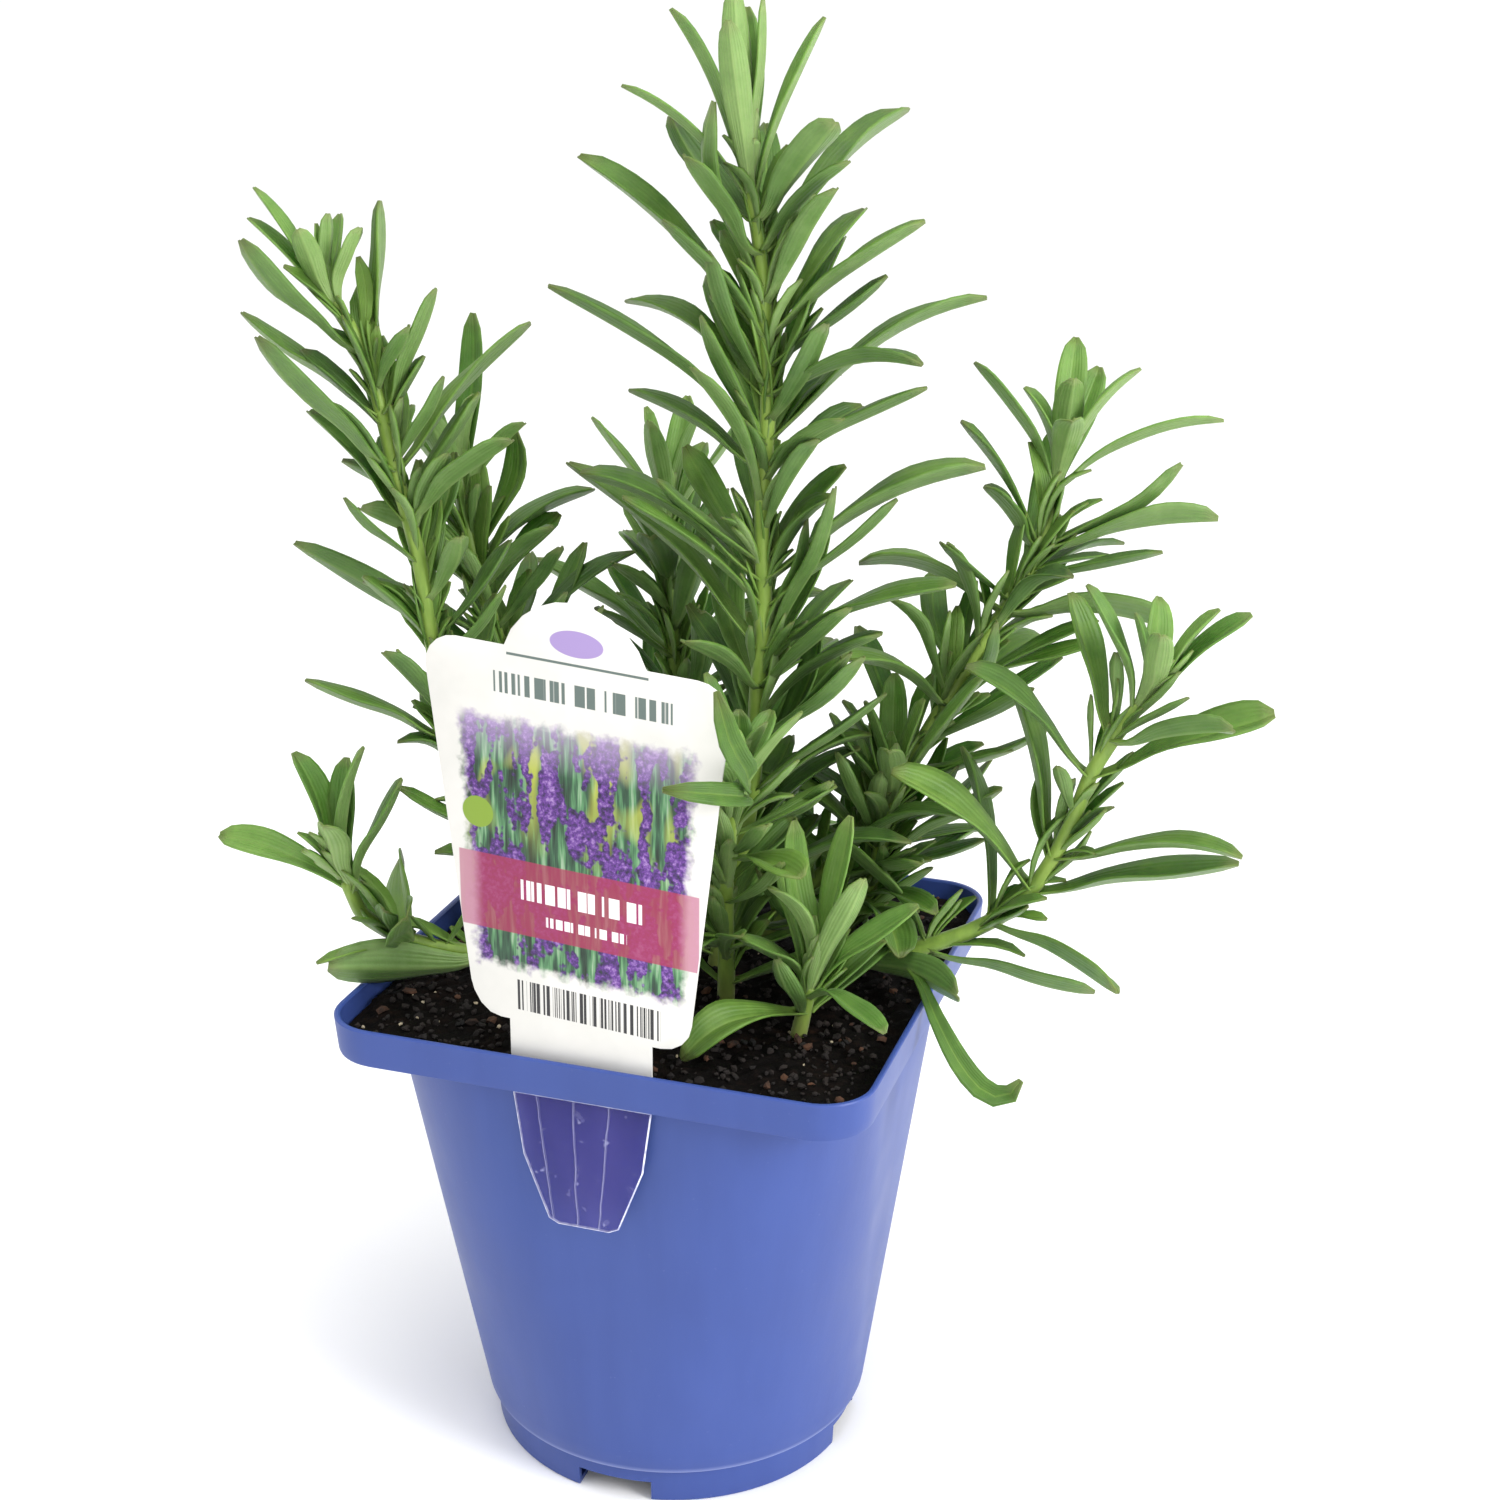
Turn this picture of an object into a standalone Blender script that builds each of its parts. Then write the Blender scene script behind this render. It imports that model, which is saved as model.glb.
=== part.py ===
"""A young lavender in a square-topped nursery pot, with a plant label pushed through the rim.

Lengths below are in millimetres and are turned into metres by MM. The pot stands on z = 0
with its axis on the z axis. Azimuths are in degrees, 0 along +X and 90 along +Y.
"""

import math

import bmesh
import bpy
from mathutils import Matrix, Vector
from mathutils.bvhtree import BVHTree

MM = 0.001

# Pot
RIM_SIDE = 110.0
RIM_CORNER_RADIUS = 10.7
POT_HEIGHT = 107.7
BAND_HEIGHT = 7.8
BAND_DRAFT = 0.5
POT_WALL = 1.2
BODY_TOP_SIDE = 102.0
BODY_TOP_CORNER_RADIUS = 31.0
BODY_FOOT_RADIUS = 41.5
FOOT_RADIUS = 39.3
FOOT_HEIGHT = 8.3
RIM_EDGE_ROUND = 0.3
NOTCH_WIDTH = 16.0
NOTCH_HEIGHT = 4.6
NOTCH_INNER_RADIUS = 25.0
DRAIN_HOLE_RADIUS = 4.0

# Soil
SOIL_DEPTH_BELOW_RIM = 3.6
SOIL_RELIEF = 0.7
SOIL_GAP = 0.4

# Label
LABEL_THICKNESS = 0.6
LABEL_TOP_WIDTH = 58.0
LABEL_BOTTOM_WIDTH = 44.0
LABEL_SHOULDER_HEIGHT = 78.0
LABEL_CORNER_RADIUS = 6.0
LABEL_DOME_WIDTH = 27.0
LABEL_DOME_HEIGHT = 10.0
LABEL_NECK_WIDTH = 28.5
LABEL_ABOVE_RIM = 5.0
LABEL_TAB_DROP = 28.5
LABEL_TAB_END_WIDTH = 14.5
LABEL_OFFSET = -0.5
LABEL_CLEARANCE = 0.4

# Plant
STEM_RADIUS = 1.5
STEM_TIP_RADIUS = 1.0
SOCKET_DEPTH = 8.0
SOCKET_GAP = 0.35
COLLAR_GAP = 0.35
COLLAR_WALL = 0.7
COLLAR_HEIGHT = 2.0
BUD_GAP = 0.4
BUD_RADIUS = 1.5
BLADE_THICKNESS = 0.7
BLADE_FOLD = 0.16
PLANT_SCALE = 1.0
LEAF_CLEARANCE = 0.2

# Corner points of each rounded-square ring, as angles from the quadrant's diagonal
RING_ANGLES = (-45, -33, -22, -13, -6.2, -3.4, 0, 3.4, 6.2, 13, 22, 33)
# Where a blade's cross-sections lie along it, and the share of its full width there
LEAF_STATIONS = ((0.12, 0.34), (0.38, 0.84), (0.66, 1.0), (0.90, 0.60))
TIP_LEAF_STATIONS = ((0.18, 0.50), (0.55, 1.0), (0.88, 0.62))
# Turns about the stem tried, in this order, until a leaf pair stands clear of its neighbours
TRIAL_TURNS = (0, 6, -6, 12, -12, 18, -18, 26, -26, 34, -34, 42, -42, 52, -52, 64, -64, 78, -78)

# Each shoot: its stem's points, then its leaf pairs and its growing tip.
# A leaf pair is (place along the stem from 0 to 1, width, first blade, second blade) and a
# blade is (azimuth, length, rise in degrees, arch: how far it bows up as a share of length).
# A growing tip is a list of levels of two blades each, all of one width.
SHOOTS = {
    "centre": {
        "stem": [(6, 3, 96), (9, 4, 112), (14, 6, 141), (15, 6, 163), (16, 7, 180), (15, 8, 200),
                 (16, 8, 220), (15, 9, 236), (14, 9, 250), (12, 8, 262)],
        "pairs": [
            (0.33, 6.0, (65, 32, 25, 0.10), (-110, 26, 30, 0.10)),
            (0.42, 5.5, (75, 27, 4, 0.05), (-105, 28, 31, 0.08)),
            (0.465, 7.0, (-8, 42, 25, 0.08), (172, 52, 36, 0.10)),
            (0.55, 8.5, (15, 47, 32, 0.08), (195, 40, 34, 0.08)),
            (0.68, 6.0, (0, 34, 29, 0.08), (180, 29, 28, 0.08)),
            (0.72, 6.5, (30, 49, 35, 0.08), (210, 49, 35, 0.08)),
            (0.77, 6.0, (-15, 33, 20, 0.08), (165, 35, 30, 0.08)),
            (0.84, 6.5, (5, 35, 37, 0.06), (185, 47, 43, 0.06)),
            (0.925, 7.5, (55, 42, 41, 0.04), (235, 25, 50, 0.04)),
            (0.965, 6.0, (-30, 27, 45, 0.05), (150, 27, 30, 0.05)),
        ],
        "tip_width": 4.6,
        "tip": [((25, 32, 66), (-160, 29, 42)), ((105, 30, 64), (-85, 32, 60)),
                ((10, 29, 80), (-170, 31, 66)), ((100, 27, 82), (-95, 30, 80))],
    },
    "left": {
        "stem": [(-8, -2, 96), (-15, -5, 108), (-30, -10, 128), (-40, -12, 146), (-46, -12, 164),
                 (-50, -11, 190), (-54, -11, 205), (-57, -10, 217), (-61, -9, 230), (-67, -9, 239)],
        "pairs": [
            (0.43, 6.5, (20, 26, 20, 0.08), (200, 29, 20, 0.10)),
            (0.72, 7.0, (-5, 27, 37, 0.08), (175, 28, 45, 0.08)),
            (0.78, 6.5, (50, 38, 41, 0.08), (230, 35, 41, 0.08)),
            (0.855, 6.0, (10, 25, 64, 0.05), (190, 30, 30, 0.08)),
            (0.93, 6.0, (50, 28, 80, 0.03), (230, 28, 36, 0.08)),
        ],
        "tip_width": 4.0,
        "tip": [((0, 14, 62), (180, 22, 44)), ((90, 15, 58), (-90, 15, 56)),
                ((10, 12, 76), (180, 22, 62))],
    },
    "left_rear": {
        "stem": [(-8, 10, 96), (-14, 9, 110), (-28, 7, 134), (-40, 7, 164), (-48, 9, 188),
                 (-51, 12, 197)],
        "pairs": [
            (0.66, 5.0, (100, 30, 25, 0.10), (195, 50, 31, 0.10)),
            (0.88, 7.5, (55, 29, 20, 0.10), (235, 26, 27, 0.10)),
        ],
        "tip_width": 4.6,
        "tip": [((0, 20, 50), (-170, 22, 52)), ((75, 34, 80), (-100, 20, 58)),
                ((0, 17, 78), (180, 16, 74))],
    },
    "low_left": {
        "stem": [(-17, -12, 96), (-23, -14, 104), (-32, -18, 109), (-41, -22, 111),
                 (-51, -27, 115), (-57, -31, 121), (-58, -33, 128)],
        "pairs": [
            (0.42, 8.0, (60, 30, 60, 0.06), (214, 31, 6, -0.04)),
            (0.66, 8.5, (95, 25, 60, 0.05), (-75, 18, -4, 0.16)),
        ],
        "tip_width": 5.5,
        "tip": [((-178, 27, 16), (10, 24, 58)), ((-80, 16, 62), (95, 22, 76)),
                ((160, 24, 70), (0, 26, 80))],
    },
    "right_upper": {
        "stem": [(10, 14, 96), (14, 17, 106), (34, 26, 131), (46, 35, 154), (56, 42, 173),
                 (64, 49, 190), (65, 53, 201)],
        "pairs": [
            (0.58, 6.5, (60, 34, 20, 0.10), (235, 30, 30, 0.10)),
            (0.76, 9.0, (8, 33, 1, 0.10), (-172, 30, 20, 0.10)),
            (0.88, 7.0, (15, 35, 13, 0.08), (195, 16, 55, 0.05)),
        ],
        "tip_width": 5.4,
        "tip": [((10, 34, 26), (-175, 28, 52)), ((70, 22, 52), (-70, 18, 50)),
                ((5, 24, 58), (180, 16, 66)), ((80, 24, 80), (-60, 16, 76))],
    },
    "right_lower": {
        "stem": [(22, 1, 96), (28, 2, 105), (37, 4, 109.5), (46, 6, 111.5), (58, 8, 116),
                 (69, 11, 123), (75, 11, 133), (79, 10, 142), (82, 10, 153), (86, 9, 161),
                 (91, 9, 169)],
        "pairs": [
            (0.20, 6.0, (-25, 30, -14, 0.16), (120, 26, 30, 0.10)),
            (0.34, 6.0, (0, 32, -12, 0.08), (170, 24, 35, 0.10)),
            (0.475, 6.0, (-35, 33, -3, 0.06), (140, 34, 70, 0.06)),
            (0.57, 8.5, (-15, 39, 17, 0.08), (165, 36, 40, 0.08)),
            (0.655, 6.5, (-10, 37, 17, 0.06), (165, 37, 74, 0.05)),
            (0.83, 7.5, (12, 35, 22, 0.08), (192, 31, 44, 0.08)),
            (0.915, 5.5, (-30, 28, 22, 0.05), (150, 28, 66, 0.05)),
        ],
        "tip_width": 4.6,
        "tip": [((10, 26, 48), (-170, 24, 62)), ((90, 19, 62), (-75, 20, 54)),
                ((0, 20, 68), (180, 14, 74))],
    },
    "front": {
        "stem": [(14, -11, 96), (15, -12, 108), (15, -13, 130), (17, -15, 149)],
        "pairs": [
            (0.40, 6.0, (80, 24, 30, 0.08), (-100, 16, 20, 0.08)),
            (0.76, 6.5, (-40, 24, 10, 0.10), (150, 34, 22, 0.10)),
        ],
        "tip_width": 4.8,
        "tip": [((-20, 25, 54), (160, 18, 30)), ((70, 16, 48), (-95, 14, 40)),
                ((10, 13, 66), (-175, 21, 74)), ((95, 11, 72), (-80, 12, 66))],
    },
    "rosette": {
        "stem": [(32, -22, 96), (33, -22, 103), (35, -21, 114)],
        "pairs": [
            (0.72, 6.5, (62, 28, 10, 0.06), (-135, 27, 4, 0.08)),
        ],
        "tip_width": 5.2,
        "tip": [((-45, 26, 2), (130, 26, 50)), ((15, 24, 36), (-170, 15, 24)),
                ((-30, 24, 58), (145, 27, 66)), ((60, 28, 70), (-130, 20, 66))],
    },
    "inner": {
        "stem": [(25, 15, 96), (28, 16, 104), (36, 19, 118), (39, 22, 138)],
        "pairs": [
            (0.50, 7.0, (-60, 26, 2, 0.10), (100, 28, 30, 0.10)),
            (0.76, 6.5, (0, 27, 30, 0.08), (178, 29, 30, 0.08)),
        ],
        "tip_width": 5.0,
        "tip": [((20, 31, 55), (-165, 20, 50)), ((105, 24, 54), (-80, 18, 46)),
                ((15, 18, 72), (-170, 17, 70))],
    },
    "rear": {
        "stem": [(-2, 22, 96), (-4, 25, 108), (-10, 34, 134), (-15, 40, 162), (-17, 43, 188)],
        "pairs": [
            (0.30, 6.5, (10, 32, 20, 0.10), (-170, 30, 18, 0.10)),
            (0.70, 7.0, (5, 34, 26, 0.10), (-175, 33, 28, 0.10)),
            (0.86, 6.5, (100, 30, 30, 0.08), (-80, 26, 34, 0.08)),
        ],
        "tip_width": 4.8,
        "tip": [((0, 26, 50), (180, 25, 48)), ((90, 24, 58), (-90, 22, 58)),
                ((5, 19, 72), (-175, 19, 72))],
    },
}

# Colours as linear RGB
POT_BLUE = (0.098, 0.148, 0.440)
SOIL_BROWN = (0.022, 0.012, 0.008)
LABEL_WHITE = (0.86, 0.84, 0.80)
STEM_GREEN = (0.27, 0.42, 0.08)
LEAF_GREEN = (0.13, 0.27, 0.045)
TIP_GREEN = (0.21, 0.36, 0.11)


def clear_scene():
    for obj in list(bpy.data.objects):
        bpy.data.objects.remove(obj, do_unlink=True)


def make_material(name, color, roughness, metallic=0.0):
    material = bpy.data.materials.new(name)
    material.use_nodes = True
    shader = material.node_tree.nodes["Principled BSDF"]
    shader.inputs["Base Color"].default_value = (*color, 1.0)
    shader.inputs["Roughness"].default_value = roughness
    shader.inputs["Metallic"].default_value = metallic
    return material


def object_from_bmesh(bm, name, material, parent=None, smooth_angle=None):
    bmesh.ops.recalc_face_normals(bm, faces=bm.faces)
    mesh = bpy.data.meshes.new(name)
    bm.to_mesh(mesh)
    bm.free()
    if material is not None:
        mesh.materials.append(material)
    if smooth_angle is not None:
        mesh.shade_smooth()
        mesh.set_sharp_from_angle(angle=math.radians(smooth_angle))
    obj = bpy.data.objects.new(name, mesh)
    bpy.context.scene.collection.objects.link(obj)
    obj.parent = parent
    return obj


def make_cutter(bm, name):
    cutter = object_from_bmesh(bm, name, None)
    cutter.hide_render = True
    cutter.display_type = "WIRE"
    return cutter


def boolean(target, other, operation):
    modifier = target.modifiers.new(other.name, "BOOLEAN")
    modifier.operation = operation
    modifier.object = other
    modifier.solver = "EXACT"


# ---- Pot and soil: rings of a rounded square, bridged one to the next ----


def rounded_square_reach(half, corner, angle):
    """Distance from the centre to the outline, along an angle in radians."""
    c, s = abs(math.cos(angle)), abs(math.sin(angle))
    flat = half - corner
    along = half / max(c, s)
    if along * min(c, s) <= flat:
        return along
    # The ray meets the corner arc, whose centre is at (flat, flat).
    middle = flat * (c + s)
    return middle + math.sqrt(max(middle**2 - 2 * flat**2 + corner**2, 0.0))


def ring_points(half, corner, height):
    corner = min(corner, half)
    points = []
    for quadrant in range(4):
        for offset in RING_ANGLES:
            angle = math.radians(45 + 90 * quadrant + offset)
            reach = rounded_square_reach(half, corner, angle)
            points.append(Vector((reach * math.cos(angle), reach * math.sin(angle), height)) * MM)
    return points


def lofted_rings(rings):
    """A closed body through (half side, corner radius, height) rings, capped at both ends."""
    bm = bmesh.new()
    loops = [[bm.verts.new(p) for p in ring_points(*ring)] for ring in rings]
    count = len(loops[0])
    for low, high in zip(loops, loops[1:]):
        for i in range(count):
            j = (i + 1) % count
            # The same diagonal going up or down, so that nested walls stay parallel.
            if low[0].co.z <= high[0].co.z:
                bm.faces.new((low[i], low[j], high[j]))
                bm.faces.new((low[i], high[j], high[i]))
            else:
                bm.faces.new((low[i], low[j], high[i]))
                bm.faces.new((low[j], high[j], high[i]))
    bm.faces.new(loops[0][::-1])
    bm.faces.new(loops[-1])
    return bm, loops


def add_box(bm, low, high, turn=0.0):
    size = [(b - a) * MM for a, b in zip(low, high)]
    centre = [(a + b) / 2 * MM for a, b in zip(low, high)]
    matrix = Matrix.Rotation(turn, 4, "Z") @ Matrix.Translation(centre) @ Matrix.Diagonal((*size, 1))
    bmesh.ops.create_cube(bm, size=1.0, matrix=matrix)


def drain_boxes(grow, name):
    """Four boxes at the middles of the sides: the drain notches, or their raised pockets."""
    bm = bmesh.new()
    half = NOTCH_WIDTH / 2 + grow
    outer = FOOT_RADIUS + 6.0 if grow == 0 else FOOT_RADIUS - POT_WALL / 2
    bottom = -2.0 if grow == 0 else POT_WALL / 3
    for quarter in range(4):
        add_box(bm, (NOTCH_INNER_RADIUS - grow, -half, bottom),
                (outer, half, NOTCH_HEIGHT + grow), math.radians(90 * quarter))
    return make_cutter(bm, name)


def drain_holes(name):
    bm = bmesh.new()
    reach = (NOTCH_INNER_RADIUS + FOOT_RADIUS - POT_WALL) / 2 - 1.0
    depth = 4 * (POT_WALL + NOTCH_HEIGHT)
    for quarter in range(4):
        turn = math.radians(90 * quarter)
        centre = Vector((reach * math.cos(turn), reach * math.sin(turn), NOTCH_HEIGHT)) * MM
        bmesh.ops.create_cone(
            bm, cap_ends=True, segments=16, radius1=DRAIN_HOLE_RADIUS * MM,
            radius2=DRAIN_HOLE_RADIUS * MM, depth=depth * MM, matrix=Matrix.Translation(centre))
    return make_cutter(bm, name)


BAND_FOOT = POT_HEIGHT - BAND_HEIGHT
BODY_TOP_HALF = BODY_TOP_SIDE / 2
RIM_HALF = RIM_SIDE / 2


def label_plane():
    """y of the label's middle: midway in the shoulder, between the band and the body's wall."""
    band_inside = RIM_HALF - BAND_DRAFT - POT_WALL
    return -(band_inside + BODY_TOP_HALF) / 2


def build_pot(material):
    wall = POT_WALL
    shoulder = BODY_TOP_HALF
    rings = [
        (FOOT_RADIUS, FOOT_RADIUS, 0.0),
        (FOOT_RADIUS + 0.3, FOOT_RADIUS + 0.3, FOOT_HEIGHT),
        (BODY_FOOT_RADIUS, BODY_FOOT_RADIUS, FOOT_HEIGHT + 0.6),
        (shoulder, BODY_TOP_CORNER_RADIUS, BAND_FOOT - 0.6),
        (RIM_HALF - BAND_DRAFT, RIM_CORNER_RADIUS, BAND_FOOT),
        (RIM_HALF, RIM_CORNER_RADIUS, POT_HEIGHT - RIM_EDGE_ROUND),
        (RIM_HALF - RIM_EDGE_ROUND, RIM_CORNER_RADIUS - RIM_EDGE_ROUND, POT_HEIGHT),
        (RIM_HALF - wall + RIM_EDGE_ROUND, RIM_CORNER_RADIUS - wall + RIM_EDGE_ROUND, POT_HEIGHT),
        (RIM_HALF - wall, RIM_CORNER_RADIUS - wall, POT_HEIGHT - RIM_EDGE_ROUND),
        (RIM_HALF - BAND_DRAFT - wall, RIM_CORNER_RADIUS - wall, BAND_FOOT + wall),
        (shoulder - wall, BODY_TOP_CORNER_RADIUS - wall, BAND_FOOT + wall - 0.6),
        (BODY_FOOT_RADIUS - wall, BODY_FOOT_RADIUS - wall, FOOT_HEIGHT + 1.2),
        (FOOT_RADIUS + 0.3 - wall, FOOT_RADIUS + 0.3 - wall, FOOT_HEIGHT + 0.4),
        (FOOT_RADIUS - wall, FOOT_RADIUS - wall, wall),
    ]
    bm, _ = lofted_rings(rings)
    pot = object_from_bmesh(bm, "pot", material, smooth_angle=30)
    boolean(pot, drain_boxes(POT_WALL, "drain_pockets"), "UNION")
    boolean(pot, drain_boxes(0.0, "drain_notches"), "DIFFERENCE")
    boolean(pot, drain_holes("drain_holes"), "DIFFERENCE")
    slot = bmesh.new()
    half = LABEL_NECK_WIDTH / 2 + LABEL_CLEARANCE
    thick = LABEL_THICKNESS / 2 + LABEL_CLEARANCE
    add_box(slot, (LABEL_OFFSET - half, label_plane() - thick, BAND_FOOT - 6.0),
            (LABEL_OFFSET + half, label_plane() + thick, BAND_FOOT + 3.0))
    boolean(pot, make_cutter(slot, "label_slot"), "DIFFERENCE")
    return pot


def soil_height(x, y):
    """Relief of the soil's top, in millimetres above its mean level."""
    waves = math.sin(0.17 * x + 0.4) * math.cos(0.13 * y - 0.3) + 0.6 * math.sin(0.31 * y + 0.11 * x)
    return SOIL_RELIEF * waves / 1.6


def build_soil(material, stems):
    gap = SOIL_GAP
    wall = POT_WALL
    top = POT_HEIGHT - SOIL_DEPTH_BELOW_RIM
    band_half = RIM_HALF - BAND_DRAFT - wall - gap
    band_corner = RIM_CORNER_RADIUS - wall - gap
    body_half = BODY_TOP_HALF - wall - gap
    rings = [
        (FOOT_RADIUS - wall - gap, FOOT_RADIUS - wall - gap, wall + gap),
        (FOOT_RADIUS - wall - gap, FOOT_RADIUS - wall - gap, FOOT_HEIGHT + 0.6 + gap),
        (BODY_FOOT_RADIUS - wall - gap, BODY_FOOT_RADIUS - wall - gap, FOOT_HEIGHT + 1.6 + gap),
        (body_half, BODY_TOP_CORNER_RADIUS - wall - gap, BAND_FOOT + wall - 0.6),
        (body_half, BODY_TOP_CORNER_RADIUS - wall - gap, BAND_FOOT + wall + gap),
        (band_half, band_corner, BAND_FOOT + wall + gap),
        (band_half, band_corner, top - SOIL_RELIEF),
        (band_half - 4.0, band_corner, top),
        (band_half * 0.72, band_half * 0.4, top),
        (band_half * 0.48, band_half * 0.4, top),
        (band_half * 0.22, band_half * 0.2, top),
    ]
    bm, loops = lofted_rings(rings)
    for loop in loops[-4:]:
        for vert in loop:
            vert.co.z += soil_height(vert.co.x / MM, vert.co.y / MM) * MM
    soil = object_from_bmesh(bm, "potting_soil", material, smooth_angle=30)
    boolean(soil, drain_boxes(POT_WALL + SOIL_GAP, "pocket_room"), "DIFFERENCE")
    room = bmesh.new()
    half = LABEL_NECK_WIDTH / 2 + 2 * LABEL_CLEARANCE
    add_box(room, (LABEL_OFFSET - half, -RIM_HALF, BAND_FOOT - 4.0),
            (LABEL_OFFSET + half, label_plane() + LABEL_THICKNESS / 2 + LABEL_CLEARANCE,
             POT_HEIGHT + 4.0))
    boolean(soil, make_cutter(room, "label_room"), "DIFFERENCE")
    for name, points in stems.items():
        socket = tube_bmesh(points[:SOCKET_RINGS], STEM_RADIUS + SOCKET_GAP,
                            STEM_RADIUS + SOCKET_GAP, SOCKET_GAP)
        boolean(soil, make_cutter(socket, name + "_socket"), "DIFFERENCE")
    return soil


# ---- Label: one flat outline, thickened ----


def arc_points(centre, radius, start, stop, count):
    turns = [math.radians(start + (stop - start) * i / (count - 1)) for i in range(count)]
    return [(centre[0] + radius * math.cos(a), centre[1] + radius * math.sin(a)) for a in turns]


def label_outline():
    """Right half of the outline, from the tab's end up to the top of the dome."""
    base = POT_HEIGHT + LABEL_ABOVE_RIM
    top = base + LABEL_SHOULDER_HEIGHT - LABEL_ABOVE_RIM
    tab_end = POT_HEIGHT - BAND_HEIGHT - LABEL_TAB_DROP
    neck = LABEL_NECK_WIDTH / 2
    end = LABEL_TAB_END_WIDTH / 2
    low = LABEL_BOTTOM_WIDTH / 2
    high = LABEL_TOP_WIDTH / 2
    dome = LABEL_DOME_WIDTH / 2
    r = LABEL_CORNER_RADIUS
    chord = (dome**2 + LABEL_DOME_HEIGHT**2) / (2 * LABEL_DOME_HEIGHT)
    lean = math.degrees(math.asin(min(dome / chord, 1.0)))
    points = [(0, tab_end), (end - 2.0, tab_end), (end, tab_end + 1.0)]
    points += [(end + (neck - end) * 0.72, tab_end + LABEL_TAB_DROP * 0.5),
               (neck - 0.6, tab_end + LABEL_TAB_DROP * 0.85), (neck, tab_end + LABEL_TAB_DROP)]
    points += [(neck, base)]
    points += arc_points((low - r, base + r), r, -90, -4, 5)
    points += arc_points((high - r, top - r), r, -4, 90, 6)
    points += arc_points((0, top + LABEL_DOME_HEIGHT - chord), chord, 90 - lean, 90, 6)
    return points


def build_label(material):
    half = label_outline()
    outline = half + [(-x, z) for x, z in half[-2:0:-1]]
    bm = bmesh.new()
    y = label_plane() - LABEL_THICKNESS / 2
    verts = [bm.verts.new(Vector((x + LABEL_OFFSET, y, z)) * MM) for x, z in outline]
    face = bm.faces.new(verts)
    grown = bmesh.ops.extrude_face_region(bm, geom=[face])
    moved = [v for v in grown["geom"] if isinstance(v, bmesh.types.BMVert)]
    bmesh.ops.translate(bm, verts=moved, vec=(0, LABEL_THICKNESS * MM, 0))
    return object_from_bmesh(bm, "plant_label", material)


# ---- Plant ----

SOCKET_RINGS = 4
STEM_SPACING = 9.0


def scaled_stem(points):
    """The stem's own points in metres, its height above the pot's rim scaled with the plant."""
    soil_top = POT_HEIGHT - SOIL_DEPTH_BELOW_RIM
    start = soil_top - SOCKET_DEPTH
    moved = []
    for x, y, z in points:
        rise = (z - points[0][2]) * PLANT_SCALE
        moved.append(Vector((x * (1 + (PLANT_SCALE - 1) * 0.5), y, start + rise)) * MM)
    return moved


def smooth_path(points):
    """A smooth line through the points, in even steps of about STEM_SPACING."""
    ends = [2 * points[0] - points[1]] + points + [2 * points[-1] - points[-2]]
    line = []
    for a, b, c, d in zip(ends, ends[1:], ends[2:], ends[3:]):
        for step in range(12):
            t = step / 12
            line.append(0.5 * (2 * b + (c - a) * t + (2 * a - 5 * b + 4 * c - d) * t**2
                               + (3 * b - a - 3 * c + d) * t**3))
    line.append(points[-1])
    steps = [(q - p).length for p, q in zip(line, line[1:])]
    total = sum(steps)
    count = max(int(round(total / (STEM_SPACING * MM))), SOCKET_RINGS + 2)
    path, walked, index = [], 0.0, 0
    for i in range(count + 1):
        want = total * i / count
        while index < len(steps) - 1 and walked + steps[index] < want:
            walked += steps[index]
            index += 1
        share = min((want - walked) / steps[index], 1.0)
        path.append(line[index].lerp(line[index + 1], share))
    return path


def path_frame(path, share):
    """Point and direction at a share of the path's length."""
    place = share * (len(path) - 1)
    index = min(int(place), len(path) - 2)
    point = path[index].lerp(path[index + 1], place - index)
    before = path[max(index - 1, 0)]
    after = path[min(index + 2, len(path) - 1)]
    return point, (after - before).normalized()


def tube_bmesh(path, start_radius, end_radius, lengthen=0.0):
    """A square-sectioned tube with eight sides: its corners are cut off, as on a mint stem."""
    bm = bmesh.new()
    path = [p.copy() for p in path]
    path[0] += (path[0] - path[1]).normalized() * lengthen * MM
    loops = []
    for i, point in enumerate(path):
        ahead = path[min(i + 1, len(path) - 1)] - path[max(i - 1, 0)]
        axis = ahead.normalized()
        side = Vector((-axis.y, axis.x, 0)) if abs(axis.z) < 0.9 else Vector((0, 1, 0))
        side = (side - axis * side.dot(axis)).normalized()
        if i and side.dot(last_side) < 0:
            side = -side
        if i:
            side = (last_side - axis * last_side.dot(axis)).normalized()
        last_side = side
        across = axis.cross(side)
        radius = start_radius + (end_radius - start_radius) * i / (len(path) - 1)
        loop = []
        for corner in range(8):
            angle = math.radians(22.5 + 45 * corner)
            offset = side * math.cos(angle) + across * math.sin(angle)
            loop.append(bm.verts.new(point + offset * radius * MM))
        loops.append(loop)
    for low, high in zip(loops, loops[1:]):
        for i in range(8):
            j = (i + 1) % 8
            bm.faces.new((low[i], low[j], high[j], high[i]))
    bm.faces.new(loops[0][::-1])
    bm.faces.new(loops[-1])
    return bm


def direction(azimuth, rise):
    a, r = math.radians(azimuth), math.radians(rise)
    return Vector((math.cos(a) * math.cos(r), math.sin(a) * math.cos(r), math.sin(r)))


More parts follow.
